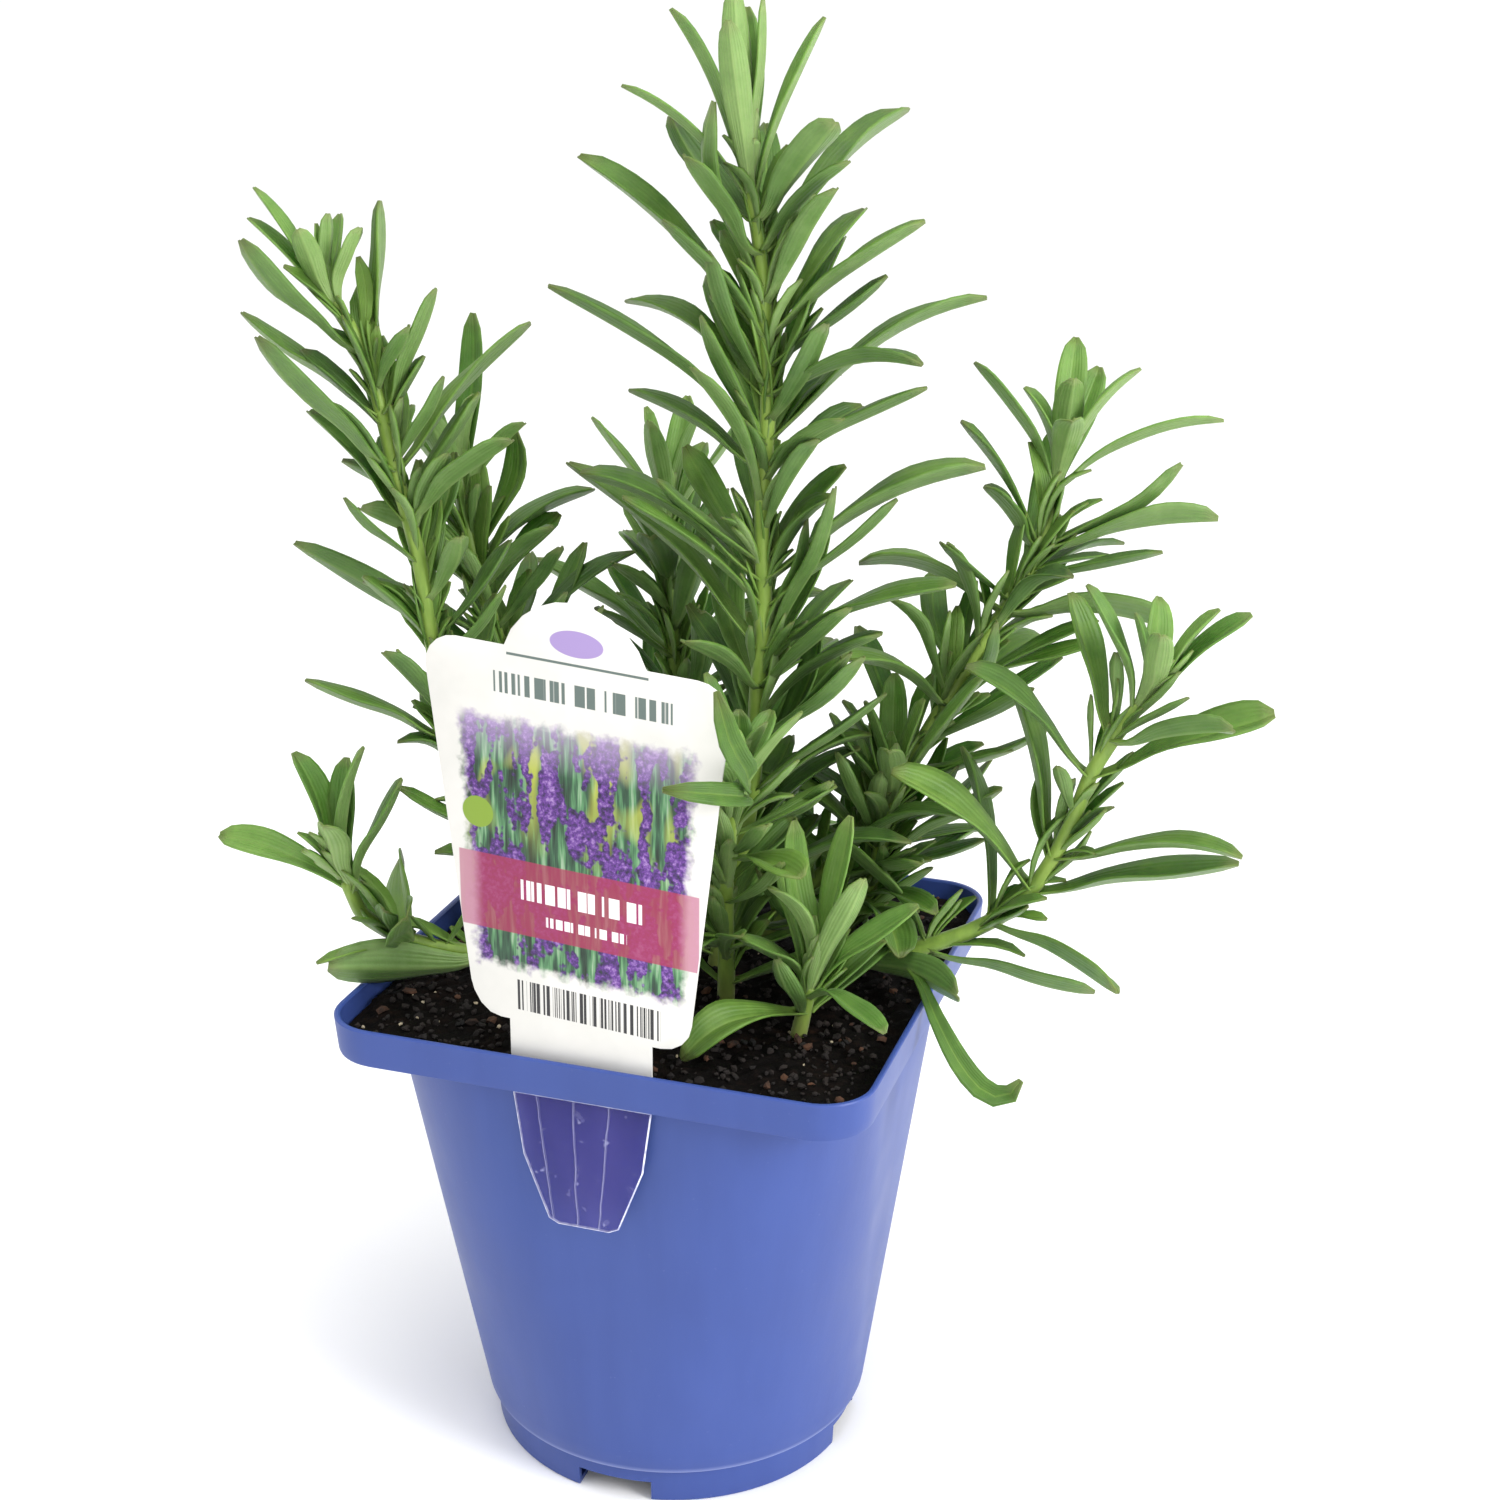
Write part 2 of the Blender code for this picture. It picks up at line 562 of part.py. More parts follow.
def add_blade(bm, base, chord, side, width, arch, stations):
    """One leaf blade grown from the six base vertices, in the order
    left-low, middle-low, right-low, right-high, middle-high, left-high."""
    start = (base[1].co + base[4].co) / 2
    length = chord.length
    along = chord.normalized()
    up = (along.cross(side)).normalized()
    if up.dot(Vector((0, 0, 1))) < 0 and up.dot(start) > 0:
        up = -up
    bend = start + chord * 0.5 + up * arch * length * 2
    last = None
    for share, breadth in stations:
        p = start * (1 - share) ** 2 + bend * 2 * share * (1 - share) + (start + chord) * share**2
        tangent = ((bend - start) * (1 - share) + (start + chord - bend) * share).normalized()
        across = (side - tangent * side.dot(tangent)).normalized()
        normal = tangent.cross(across)
        half = across * width * breadth / 2 * MM
        lift = normal * width * BLADE_FOLD * breadth * MM
        thick = normal * BLADE_THICKNESS / 2 * MM
        ring = [bm.verts.new(q) for q in (p - half + lift, p - thick, p + half + lift, p + thick)]
        if last is None:
            bm.faces.new((base[0], ring[0], base[5]))
            bm.faces.new((base[2], base[3], ring[2]))
            for i, j, k, m in ((0, 1, 1, 0), (1, 2, 2, 1), (3, 4, 3, 2), (4, 5, 0, 3)):
                bm.faces.new((base[i], base[j], ring[k], ring[m]))
        else:
            for i in range(4):
                j = (i + 1) % 4
                bm.faces.new((last[i], last[j], ring[j], ring[i]))
        last = ring
    tip = bm.verts.new(start + chord)
    for i in range(4):
        bm.faces.new((last[i], last[(i + 1) % 4], tip))


def whorl_bmesh(levels, width, frame, bore):
    """Opposite blades on an eight-sided collar, or on a solid bud with several levels.

    Each level is two blades (azimuth, length, rise, arch) in world directions. frame turns
    local directions into world ones. A bore of None makes the solid, pointed bud.
    """
    bm = bmesh.new()
    to_local = frame.to_3x3().inverted()
    outer = BUD_RADIUS if bore is None else bore + COLLAR_WALL
    height = COLLAR_HEIGHT if bore is not None else 1.3
    pitch = height + 0.5
    stations = TIP_LEAF_STATIONS if bore is None else LEAF_STATIONS

    def circle(radius, z):
        turns = [math.radians(45 * i) for i in range(8)]
        return [bm.verts.new(Vector((radius * math.cos(a), radius * math.sin(a), z)) * MM)
                for a in turns]

    rings = []
    for i in range(len(levels)):
        shrink = 1 - 0.1 * i
        rings.append(circle(outer * shrink, i * pitch))
        rings.append(circle(outer * shrink, i * pitch + height))
    skipped = set()
    for i, blades in enumerate(levels):
        low, high = rings[2 * i], rings[2 * i + 1]
        quarter = 2 * (i % 2)
        for j, (azimuth, length, rise, arch) in enumerate(blades):
            middle = (quarter + 4 * j) % 8
            left, right = (middle - 1) % 8, (middle + 1) % 8
            skipped.update({(2 * i, left), (2 * i, middle)})
            base = [low[left], low[middle], low[right], high[right], high[middle], high[left]]
            turn = math.radians(45 * middle)
            side = Vector((-math.sin(turn), math.cos(turn), 0))
            start = (low[middle].co + high[middle].co) / 2
            chord = to_local @ (direction(azimuth, rise) * length * PLANT_SCALE * MM)
            if chord.xy.dot(start.xy) < 0.05 * chord.length * start.xy.length:
                chord = chord + start.xy.to_3d().normalized() * 0.12 * chord.length
            add_blade(bm, base, chord, side, width, arch, stations)
    for k in range(len(rings) - 1):
        for i in range(8):
            if (k, i) not in skipped:
                j = (i + 1) % 8
                bm.faces.new((rings[k][i], rings[k][j], rings[k + 1][j], rings[k + 1][i]))
    if bore is None:
        bm.faces.new(rings[0][::-1])
        apex = bm.verts.new(Vector((0, 0, len(levels) * pitch + 2.5)) * MM)
        for i in range(8):
            bm.faces.new((rings[-1][i], rings[-1][(i + 1) % 8], apex))
    else:
        inner_low, inner_high = circle(bore, 0), circle(bore, height)
        for i in range(8):
            j = (i + 1) % 8
            bm.faces.new((inner_low[j], inner_low[i], inner_high[i], inner_high[j]))
            bm.faces.new((rings[0][j], rings[0][i], inner_low[i], inner_low[j]))
            bm.faces.new((rings[1][i], rings[1][j], inner_high[j], inner_high[i]))
    return bm


def shoot_frame(point, axis, azimuth):
    """Axes at a point of a stem: z along the stem, x as near as it can be to the azimuth."""
    x = direction(azimuth, 0)
    x = (x - axis * x.dot(axis)).normalized()
    y = axis.cross(x)
    frame = Matrix((x, y, axis)).transposed().to_4x4()
    frame.translation = point
    return frame


def tree_of(mesh, matrix, swell=0.0):
    mesh.calc_loop_triangles()
    points = [matrix @ (v.co + v.normal * swell * MM) for v in mesh.vertices]
    triangles = [tuple(t.vertices) for t in mesh.loop_triangles]
    return BVHTree.FromPolygons(points, triangles)


def set_clear(obj, point, axis, azimuth, neighbours):
    """Turns the piece about its stem until it stands clear of the pieces already there."""
    for turn in TRIAL_TURNS:
        frame = shoot_frame(point, axis, azimuth)
        frame = Matrix.Translation(point) @ Matrix.Rotation(
            math.radians(turn), 4, axis) @ Matrix.Translation(-point) @ frame
        tree = tree_of(obj.data, frame, LEAF_CLEARANCE)
        if not any(tree.overlap(other) for other in neighbours):
            break
    else:
        frame = shoot_frame(point, axis, azimuth)
        print("no clear place for", obj.name)
    obj.matrix_world = frame
    neighbours.append(tree_of(obj.data, frame))
    return obj


def build_plant(paths, neighbours):
    stem_material = make_material("stem", STEM_GREEN, 0.55)
    leaf_material = make_material("leaf", LEAF_GREEN, 0.55)
    tip_material = make_material("tip_leaf", TIP_GREEN, 0.60)
    plant = bpy.data.objects.new("plant", None)
    bpy.context.scene.collection.objects.link(plant)
    for name, path in paths.items():
        bm = tube_bmesh(path, STEM_RADIUS, STEM_TIP_RADIUS)
        stem = object_from_bmesh(bm, name + "_stem", stem_material, plant, 40)
        neighbours.append(tree_of(stem.data, Matrix()))
    for name, shoot in SHOOTS.items():
        path = paths[name]
        levels = [[(*blade, 0.05) for blade in level] for level in shoot["tip"]]
        point, axis = path[-1], (path[-1] - path[-2]).normalized()
        point = point + axis * BUD_GAP * MM
        azimuth = levels[0][0][0]
        frame = shoot_frame(point, axis, azimuth)
        bm = whorl_bmesh(levels, shoot["tip_width"], frame, None)
        tip = object_from_bmesh(bm, name + "_tip_leaves", tip_material, plant)
        set_clear(tip, point, axis, azimuth, neighbours)
    for name, shoot in SHOOTS.items():
        path = paths[name]
        for number, (share, width, first, second) in enumerate(shoot["pairs"], 1):
            point, axis = path_frame(path, share)
            azimuth = first[0]
            frame = shoot_frame(point, axis, azimuth)
            radius = STEM_RADIUS + (STEM_TIP_RADIUS - STEM_RADIUS) * share
            bore = (radius + COLLAR_GAP) / math.cos(math.radians(22.5))
            bm = whorl_bmesh([(first, second)], width, frame, bore)
            pair = object_from_bmesh(bm, "%s_leaf_pair_%d" % (name, number), leaf_material, plant)
            set_clear(pair, point - axis * COLLAR_HEIGHT / 2 * MM, axis, azimuth, neighbours)


def main():
    clear_scene()
    paths = {name: smooth_path(scaled_stem(shoot["stem"])) for name, shoot in SHOOTS.items()}
    pot = build_pot(make_material("pot_plastic", POT_BLUE, 0.38))
    soil = build_soil(make_material("potting_soil", SOIL_BROWN, 0.95), paths)
    label = build_label(make_material("label_plastic", LABEL_WHITE, 0.35))
    graph = bpy.context.evaluated_depsgraph_get()
    neighbours = []
    for obj in (pot, soil, label):
        mesh = bpy.data.meshes.new_from_object(obj.evaluated_get(graph))
        neighbours.append(tree_of(mesh, obj.matrix_world))
        bpy.data.meshes.remove(mesh)
    build_plant(paths, neighbours)


main()
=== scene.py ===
"""Looks for the potted lavender: fine leaves, stems, soil, pot and label round the CAD frame."""

import functools
import math

import bpy
import numpy as np
from mathutils import Matrix, Vector


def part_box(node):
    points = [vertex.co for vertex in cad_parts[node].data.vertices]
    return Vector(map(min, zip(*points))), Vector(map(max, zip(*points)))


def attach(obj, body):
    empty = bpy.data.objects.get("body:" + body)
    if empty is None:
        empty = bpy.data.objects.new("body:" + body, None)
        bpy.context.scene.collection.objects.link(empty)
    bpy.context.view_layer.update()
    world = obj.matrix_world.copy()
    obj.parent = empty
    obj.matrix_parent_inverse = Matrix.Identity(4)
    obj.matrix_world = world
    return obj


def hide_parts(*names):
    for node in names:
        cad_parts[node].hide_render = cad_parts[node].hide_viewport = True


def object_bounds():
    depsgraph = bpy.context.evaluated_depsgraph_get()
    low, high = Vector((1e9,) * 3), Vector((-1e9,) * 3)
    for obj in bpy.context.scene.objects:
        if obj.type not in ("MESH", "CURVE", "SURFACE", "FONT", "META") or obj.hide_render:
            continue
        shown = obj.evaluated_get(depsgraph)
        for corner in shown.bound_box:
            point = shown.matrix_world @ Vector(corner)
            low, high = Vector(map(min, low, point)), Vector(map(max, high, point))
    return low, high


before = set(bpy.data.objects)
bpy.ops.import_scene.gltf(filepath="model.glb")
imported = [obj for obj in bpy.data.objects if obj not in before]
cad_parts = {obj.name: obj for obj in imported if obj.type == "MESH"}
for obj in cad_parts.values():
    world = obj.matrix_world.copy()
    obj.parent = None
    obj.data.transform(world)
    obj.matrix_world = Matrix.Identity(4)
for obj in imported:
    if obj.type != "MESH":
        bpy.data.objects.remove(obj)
cad_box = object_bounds()
MM = 0.001
draw = np.random.default_rng(11)

# ---- Sizes and places: the camera's and the CAD boxes' in metres, all others in mm ----

CAMERA_PLACE = Vector((0.149, -0.419, 0.314))
CAMERA_AIM = Vector((0.014, 0.005, 0.152))
CAMERA_LENS = 56.3
CAMERA_ROLL = math.radians(0.6)
# Lamps in metres and watts: name, place, aim, size, power
LAMPS = (("key", (1.05, -0.35, 0.65), (0.0, 0.0, 0.13), 0.5, 11.0),
         ("top", (0.10, -0.25, 1.10), (0.0, 0.0, 0.15), 0.5, 4.0))
SKY_STRENGTH = 1.05
FLOOR_SIDE = 8.0

POT_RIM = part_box("pot")[1][2]
POT_HALF = (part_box("pot")[1][0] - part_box("pot")[0][0]) / 2
SOIL_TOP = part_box("potting_soil")[1][2]
SOIL_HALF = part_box("potting_soil")[1][0] - 0.6 * MM
LABEL_LOW, LABEL_HIGH = (Vector(corner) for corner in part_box("plant_label"))
LABEL_CENTRE = (LABEL_LOW.x + LABEL_HIGH.x) / 2
LABEL_MIDDLE = (LABEL_LOW.y + LABEL_HIGH.y) / 2

# Pot: wall, depth of the rim band, height of the step at the foot, half-widths and corners
POT_WALL = 1.2
BAND = 7.8
FOOT_STEP = 8.3
FOOT_HALF, BODY_LOW_HALF, BODY_TOP_HALF, BODY_TOP_CORNER = 39.3, 41.5, 51.0, 31.0
RIM_CORNER = 10.7
NOTCH_WIDTH, NOTCH_HEIGHT = 16.0, 4.6
RING_COUNT = 192
WALL_RINGS, BAND_RINGS, INNER_RINGS = 24, 4, 6

# Soil: the crust's cells and corner, how thick it is and where it falls away to the wall
CRUST_CELLS = 150
CRUST_CORNER, CRUST_THICKNESS, CRUST_EDGE = 8.5, 2.0, 3.0
# Crumbs: piece, material, its dark and light colours, how many, shortest and longest, flatness
CRUMBS = (("peat_crumbs", "peat_crumb", "#040202", "#1d130e", 1700, (0.22, 0.95), 0.7),
          ("bark_chips", "pine_bark", "#1a0f09", "#573723", 120, (0.5, 1.7), 0.5),
          ("pale_grit", "root_grit", "#7c6d55", "#b9ae95", 70, (0.2, 0.5), 0.7))

# Label: how far below the rim the clear tab starts, the board's foot above the rim, how far the
# board is raised at its middle, its slope across, and how far up its neck the slope takes hold
TAB_TOP = 8.6
BOARD_FOOT = 5.0
LABEL_LIFT = 1.5
LABEL_LEAN = 0.075
NECK = 8.0
# Print, from the board's middle and its foot: (left, right, low, high)
PICTURE = (-24.5, 24.5, 10.2, 59.0)
ROSE_BAND = (-23.5, 23.5, 17.0, 32.0)
ROSE_MIDDLE = (-20.0, 20.5, 0.0, 90.0)
RULE = (-13.0, 14.0, 71.4, 71.9)
PRINT_WHITE, PRINT_SLATE, PRINT_BLACK = "#ece6e8", "#5d6b66", "#232326"
# Rows of strokes that stand for print: place, spacing, share left bare, colour
STROKE_ROWS = (((-11.5, 12.5, 24.2, 28.2), 1.613, 0.47, PRINT_WHITE),
               ((-6.5, 9.5, 19.6, 21.6), 1.111, 0.47, PRINT_WHITE),
               ((-17.0, 18.5, 64.0, 68.0), 1.923, 0.48, PRINT_SLATE),
               ((-12.5, 16.0, 1.4, 7.6), 0.6667, 0.49, PRINT_BLACK))
# Plain spots: middle across and up, half-width, half-height, colour
SPOTS = ((-19.5, 40.0, 3.1, 3.1, "#7d9a2b"), (0.5, 75.6, 5.2, 2.5, "#9a86b8"))
# Fold lines in the clear tab: place across at its foot, and slope
CREASES = ((-6.2, -0.11), (-1.2, -0.02), (3.0, 0.09))

# Leaves: share of the full half-width along a leaf, from stalk to blunt point
OUTLINE_PLACES = (0.0, 0.06, 0.14, 0.28, 0.45, 0.62, 0.76, 0.87, 0.94, 0.98, 1.0)
OUTLINE_WIDTHS = (0.42, 0.32, 0.39, 0.62, 0.86, 1.0, 0.97, 0.82, 0.63, 0.46, 0.18)
SPOON_WIDTHS = (0.38, 0.26, 0.30, 0.44, 0.68, 0.92, 1.0, 0.92, 0.72, 0.50, 0.20)
# How much wider than its CAD solid a blade is drawn, how far its foot reaches in to the stem,
# and its thickness, for a pair and for a tip
PAIR_WIDTH, TIP_WIDTH = 1.24, 1.14
PAIR_REACH, TIP_REACH, TIP_DROP = 0.55, 0.8, 2.5
PAIR_THICKNESS, TIP_THICKNESS, FILL_THICKNESS = 0.42, 0.38, 0.40
# Rings of four corners along a CAD blade, between its point and its collar
PAIR_RINGS, TIP_RINGS = 4, 3
# Leaves between the CAD pairs: along each shoot from one share of its stem to another, a pair
# every few mm, with the blades' shortest and longest lengths, rises and half-width
FILL = {
    "centre": (0.06, 0.955, 5.2, (24, 42), (34, 60), 3.2),
    "left": (0.16, 0.93, 7.5, (18, 31), (34, 58), 2.9),
    "left_rear": (0.14, 0.92, 5.0, (24, 42), (28, 58), 3.0),
    "rear": (0.10, 0.92, 4.6, (28, 44), (20, 54), 3.1),
    "right_upper": (0.10, 0.92, 6.0, (24, 40), (24, 58), 3.0),
    "right_lower": (0.40, 0.93, 19.0, (14, 24), (40, 64), 2.0),
    "inner": (0.24, 0.95, 3.6, (26, 40), (10, 58), 2.9),
    "front": (0.20, 0.94, 5.0, (18, 30), (15, 55), 2.7),
    "rosette": (0.60, 0.95, 4.0, (18, 28), (8, 48), 2.9),
    "low_left": (0.45, 0.90, 9.0, (13, 22), (35, 60), 2.3),
}
# Leaves low on a stem lie flatter: their rise grows from this share by this much up the stem
LOW_RISE, LOW_SPREAD = 0.35, 2.2
# These shoots grow no small leaves within so many degrees of this azimuth, so their stems show
OPEN_SIDE, OPEN_SPREAD = -72, 42
OPEN_SHOOTS = ("centre", "left", "left_rear", "right_upper", "right_lower")
# How far small leaves stay from the label's face and edges, the rim and the soil, and how far
# they may pass the CAD's box
LABEL_FACE_GAP, LABEL_EDGE_GAP, RIM_INSET, RIM_GAP, SOIL_GAP, PAST_BOX = 2.5, 3, 3, 2, 1.5, 2
# Single blades that reach out of the plant: half-width and the points they pass
LONE_BLADES = (
    (2.3, ((47, 2, 112), (53, -6, 112.5), (59.5, -13, 106), (65, -16, 99.5), (69, -17, 96),
           (72.5, -17, 94.8), (75, -16.5, 95.8), (76.5, -16, 98.5))),
    (2.1, ((17, -15, 149), (24, -34, 158), (30.5, -52, 165), (28.5, -60, 168), (21, -66, 170))),
    (2.2, ((17, -15, 149), (25, -36, 160), (32, -53, 170), (31, -59, 177), (29, -61, 187))),
)
# Small leaves in the axils: fewest and one more than the most, shortest and longest
AXIL_COUNT, AXIL_LENGTHS = (1, 4), (8, 21)
# Bud leaves: how many, the turn between them in radians, the first's length and how much
# shorter each next one is
BUD_COUNT, BUD_TURN, BUD_LENGTH, BUD_STEP = 8, 2.4, 13, 0.9
# Share of a leaf's length where its end starts to hook
HOOK_FROM = 0.55
# How far a stem is swelled past its CAD surface
STEM_SWELL = 0.45

# ---- Camera and light ----


def linked(name, data):
    """A new object in the scene."""
    obj = bpy.data.objects.new(name, data)
    bpy.context.scene.collection.objects.link(obj)
    return obj


def place_camera():
    camera = linked("camera", bpy.data.cameras.new("camera"))
    camera.data.lens = CAMERA_LENS
    camera.data.clip_start = 0.01
    camera.location = CAMERA_PLACE
    turn = (CAMERA_AIM - CAMERA_PLACE).to_track_quat("-Z", "Y").to_matrix()
    camera.rotation_euler = (turn @ Matrix.Rotation(CAMERA_ROLL, 3, "Z")).to_euler()
    bpy.context.scene.camera = camera


def area_light(name, place, aim, size, power):
    light = bpy.data.lights.new(name, "AREA")
    light.shape = "DISK"
    light.size = size
    light.energy = power
    lamp = linked(name, light)
    lamp.location = place
    lamp.rotation_euler = (Vector(aim) - Vector(place)).to_track_quat("-Z", "Y").to_euler()


# ---- Nodes ----


def linear(code):
    """An sRGB hex colour as linear RGBA."""
    parts = [int(code[i:i + 2], 16) / 255 for i in (1, 3, 5)]
    return (*[p / 12.92 if p <= 0.04045 else ((p + 0.055) / 1.055) ** 2.4 for p in parts], 1.0)


def give(node, pairs):
    """Feeds each (input, value) pair: an output is linked, a hex colour or a number is set."""
    for socket, value in pairs:
        socket = socket if isinstance(socket, bpy.types.NodeSocket) else \
            node.inputs[socket.replace("_", " ")]
        if isinstance(value, bpy.types.NodeSocket):
            node.id_data.links.new(value, socket)
        else:
            socket.default_value = linear(value) if isinstance(value, str) else value


def add_node(tree, kind, *feeds, stops=(), **settings):
    """Adds a node and returns its first live output. The feeds fill its live inputs in order. A
    setting in small letters is the node's own, and any other names an input. Stops are a colour
    ramp's places, each with a hex colour or a grey."""
    node = tree.nodes.new("ShaderNode" + kind)
    for key in filter(str.islower, settings):
        setattr(node, key, settings[key])
    give(node, zip([socket for socket in node.inputs if socket.enabled], feeds))
    give(node, [pair for pair in settings.items() if not pair[0].islower()])
    for k, (place, tone) in enumerate(stops):
        elements = node.color_ramp.elements
        element = elements[k] if k < len(elements) else elements.new(1.0)
        element.position = place
        element.color = linear(tone) if isinstance(tone, str) else (tone, tone, tone, 1.0)
    return next(socket for socket in node.outputs if socket.enabled)


def new_material(name):
    """A material, the function that adds its nodes, its shader and the place on the piece."""
    material = bpy.data.materials.new(name)
    material.use_nodes = True
    add = functools.partial(add_node, material.node_tree)
    shader = material.node_tree.nodes["Principled BSDF"]
    return material, add, shader, add("TexCoord").node.outputs["Object"]


def finish(shader, **inputs):
    give(shader, inputs.items())


def spaced(mm):
    """A pattern's scale for marks this many mm apart."""
    return 1 / (mm * MM)


def mixture(add, *parts):
    """The sum of (share, pattern) pairs."""
    total = None
    for share, pattern in parts:
        part = add("Math", pattern, share, operation="MULTIPLY")
        total = part if total is None else add("Math", total, part, operation="ADD")
    return total


def coats(add, colour, *layers):
    """A colour with (mask, colour) layers laid over it in turn."""
    for mask, coat in layers:
        colour = add("Mix", mask, colour, coat, data_type="RGBA")
    return colour


# ---- Materials ----


def polypropylene_pot():
    """Injection-moulded polypropylene: dyed through, satin, with faint flow streaks running up
    the wall, a chalky bloom, a scuffed foot and a little light passing through the wall."""
    material, add, shader, place = new_material("moulded_polypropylene")
    streaks = add("TexNoise", add("Mapping", place, Scale=(1, 1, 0.08)), spaced(6.25), 4.0, 0.55)
    cloud = add("TexNoise", place, spaced(35.7), 3.0, 0.55)
    specks = add("TexNoise", place, spaced(1.11), 2.0, 0.7)
    colour = add("ValToRGB", mixture(add, (0.45, streaks), (0.55, cloud)),
                 stops=((0.25, "#324687"), (0.52, "#374c8f"), (0.80, "#3d5296")))
    bloom = add("ValToRGB", specks, stops=((0.70, 0.0), (0.82, 0.35)))
    height = add("SeparateXYZ", place).node.outputs["Z"]
    off_step = add("Math", add("Math", height, (FOOT_STEP + 0.3) * MM, operation="SUBTRACT"),
                   operation="ABSOLUTE")
    scuff = add("Math", 1.0, mixture(add, (spaced(1.11), off_step)), operation="SUBTRACT")
    scuff = mixture(add, (0.55, add("Math", scuff, 0.0, operation="MAXIMUM")))
    finish(shader, Base_Color=coats(add, colour, (bloom, "#6673a8"), (scuff, "#8d98c4")),
           Roughness=add("ValToRGB", cloud, stops=((0.3, 0.36), (0.7, 0.50))), IOR=1.49,
           Specular_IOR_Level=0.36, Subsurface_Weight=0.12,
           Subsurface_Radius=(0.0006, 0.0008, 0.0016), Subsurface_Scale=1.0,
           Normal=add("Bump", 0.25, 0.12 * MM, Height=mixture(add, (1.0, streaks), (0.5, specks))))
    return material


def peat_soil():
    """Damp peat: nearly black, with rusty fibres and dull tan flecks of bark."""
    material, add, shader, place = new_material("damp_peat")
    grain = add("TexNoise", place, spaced(2.38), 6.0, 0.7)
    lumps = add("TexNoise", place, spaced(8.33), 4.0, 0.6)
    finish(shader, Specular_IOR_Level=0.08,
           Base_Color=add("ValToRGB", mixture(add, (0.6, grain), (0.4, lumps)), stops=(
               (0.36, "#030202"), (0.50, "#0a0706"), (0.60, "#150e0b"), (0.68, "#2a1c14"),
               (0.78, "#4d3826"))),
           Roughness=add("ValToRGB", lumps, stops=((0.35, 0.62), (0.65, 0.95))),
           Normal=add("Bump", 0.9, 0.9 * MM, Height=mixture(add, (1.0, grain), (1.0, lumps))))
    return material


def bark_crumb(name, dark, light):
    """Crumbs of bark, peat or root: matt, broken surface, colour varied piece by piece."""
    material, add, shader, place = new_material(name)
    grain = add("TexNoise", place, spaced(1.43), 4.0, 0.65)
    patch = add("TexNoise", place, spaced(6.67), 2.0, 0.55)
    finish(shader, Roughness=0.9, Normal=add("Bump", 0.6, 0.4 * MM, Height=grain),
           Base_Color=add("ValToRGB", mixture(add, (0.4, grain), (0.6, patch)),
                          stops=((0.35, dark), (0.65, light))))
    return material


def leaf_surface(name, shade, body, light, rib, downy, ribs_up):
    """Living leaf: waxy green with a midrib, fine veins running to the point, uneven colour from
    leaf to leaf, fine down that greys it at the edge of sight, and light through. The down is
    finer than can be seen, so it is drawn 0.4 mm apart."""
    material, add, shader, place = new_material(name)
    u, along, _ = add("SeparateXYZ", add("UVMap", uv_map="blade")).node.outputs
    tint = add("Attribute", attribute_name="tint").node.outputs["Fac"]
    across = add("Math", add("Math", u, 0.5, operation="SUBTRACT"), operation="ABSOLUTE")
    mottle = add("TexNoise", place, spaced(3.85), 4.0, 0.6)
    broad = add("TexNoise", place, spaced(22.2), 2.0, 0.55)
    down = add("TexNoise", place, spaced(0.385), 2.0, 0.7)
    colour = add("ValToRGB", mixture(add, (0.35, mottle), (0.30, broad), (0.38, tint)),
                 stops=((0.22, shade), (0.48, body), (0.80, light)))
    midrib = add("ValToRGB", across, stops=((0.012, 1.0), (0.075, 0.0)))
    stalk = add("ValToRGB", along, stops=((0.0, 0.75), (0.24, 0.0)))
    edge = add("ValToRGB", across, stops=((0.46, 0.0), (0.50, 0.10)))
    point = add("ValToRGB", along, stops=((0.90, 0.0), (1.0, 0.45)))
    slant = add("CombineXYZ", u, mixture(add, (0.12, along)), 0.0)
    veins = add("TexWave", slant, 3.2, 0.6, 2.0, 2.0).node.outputs["Fac"]
    height = mixture(add, (0.35, veins), (0.5, mottle), (0.3, down), (ribs_up, midrib))
    finish(shader, Base_Color=coats(add, colour, (mixture(add, (0.38, midrib)), rib),
                                    (stalk, rib), (edge, light), (point, "#6a5f3c")),
           Roughness=add("ValToRGB", mottle, stops=((0.3, 0.42), (0.7, 0.58))), IOR=1.42,
           Sheen_Weight=downy, Sheen_Roughness=0.45, Sheen_Tint="#dfe9cf",
           Subsurface_Weight=0.22, Subsurface_Radius=(0.0008, 0.0016, 0.0004),
           Subsurface_Scale=1.0, Normal=add("Bump", 0.55, 0.25 * MM, Height=height))
    return material


def stem_skin():
    """Young square stem: yellow-green, ridged lengthwise, with paler and browner runs, and
    woodier low down."""
    material, add, shader, place = new_material("young_stem")
    runs = add("TexNoise", add("Mapping", place, Scale=(1, 1, 0.25)), spaced(3.33), 4.0, 0.6)
    patch = add("TexNoise", place, spaced(25.0), 2.0, 0.55)
    colour = add("ValToRGB", mixture(add, (0.5, runs), (0.5, patch)),
                 stops=((0.30, "#567428"), (0.50, "#7c9a39"), (0.70, "#9ab450")))
    height = add("SeparateXYZ", place).node.outputs["Z"]
    woody = add("ValToRGB", mixture(add, (4.0, height)), stops=((0.41, 0.75), (0.45, 0.0)))
    finish(shader, Base_Color=coats(add, colour, (woody, "#6b6a34")), Roughness=0.5,
           Sheen_Weight=0.25, Subsurface_Weight=0.2, Subsurface_Radius=(0.001, 0.0015, 0.0005),
           Subsurface_Scale=1.0, Normal=add("Bump", 0.5, 0.3 * MM, Height=runs))
    return material


def between(add, value, low, high, soft):
    """1 between low and high, fading over soft at each end."""
    rise, fall = (add("MapRange", value, end - soft, end + soft, interpolation_type="SMOOTHSTEP")
                  for end in (low, high))
    return add("Math", rise, add("Math", 1.0, fall, operation="SUBTRACT"), operation="MULTIPLY")


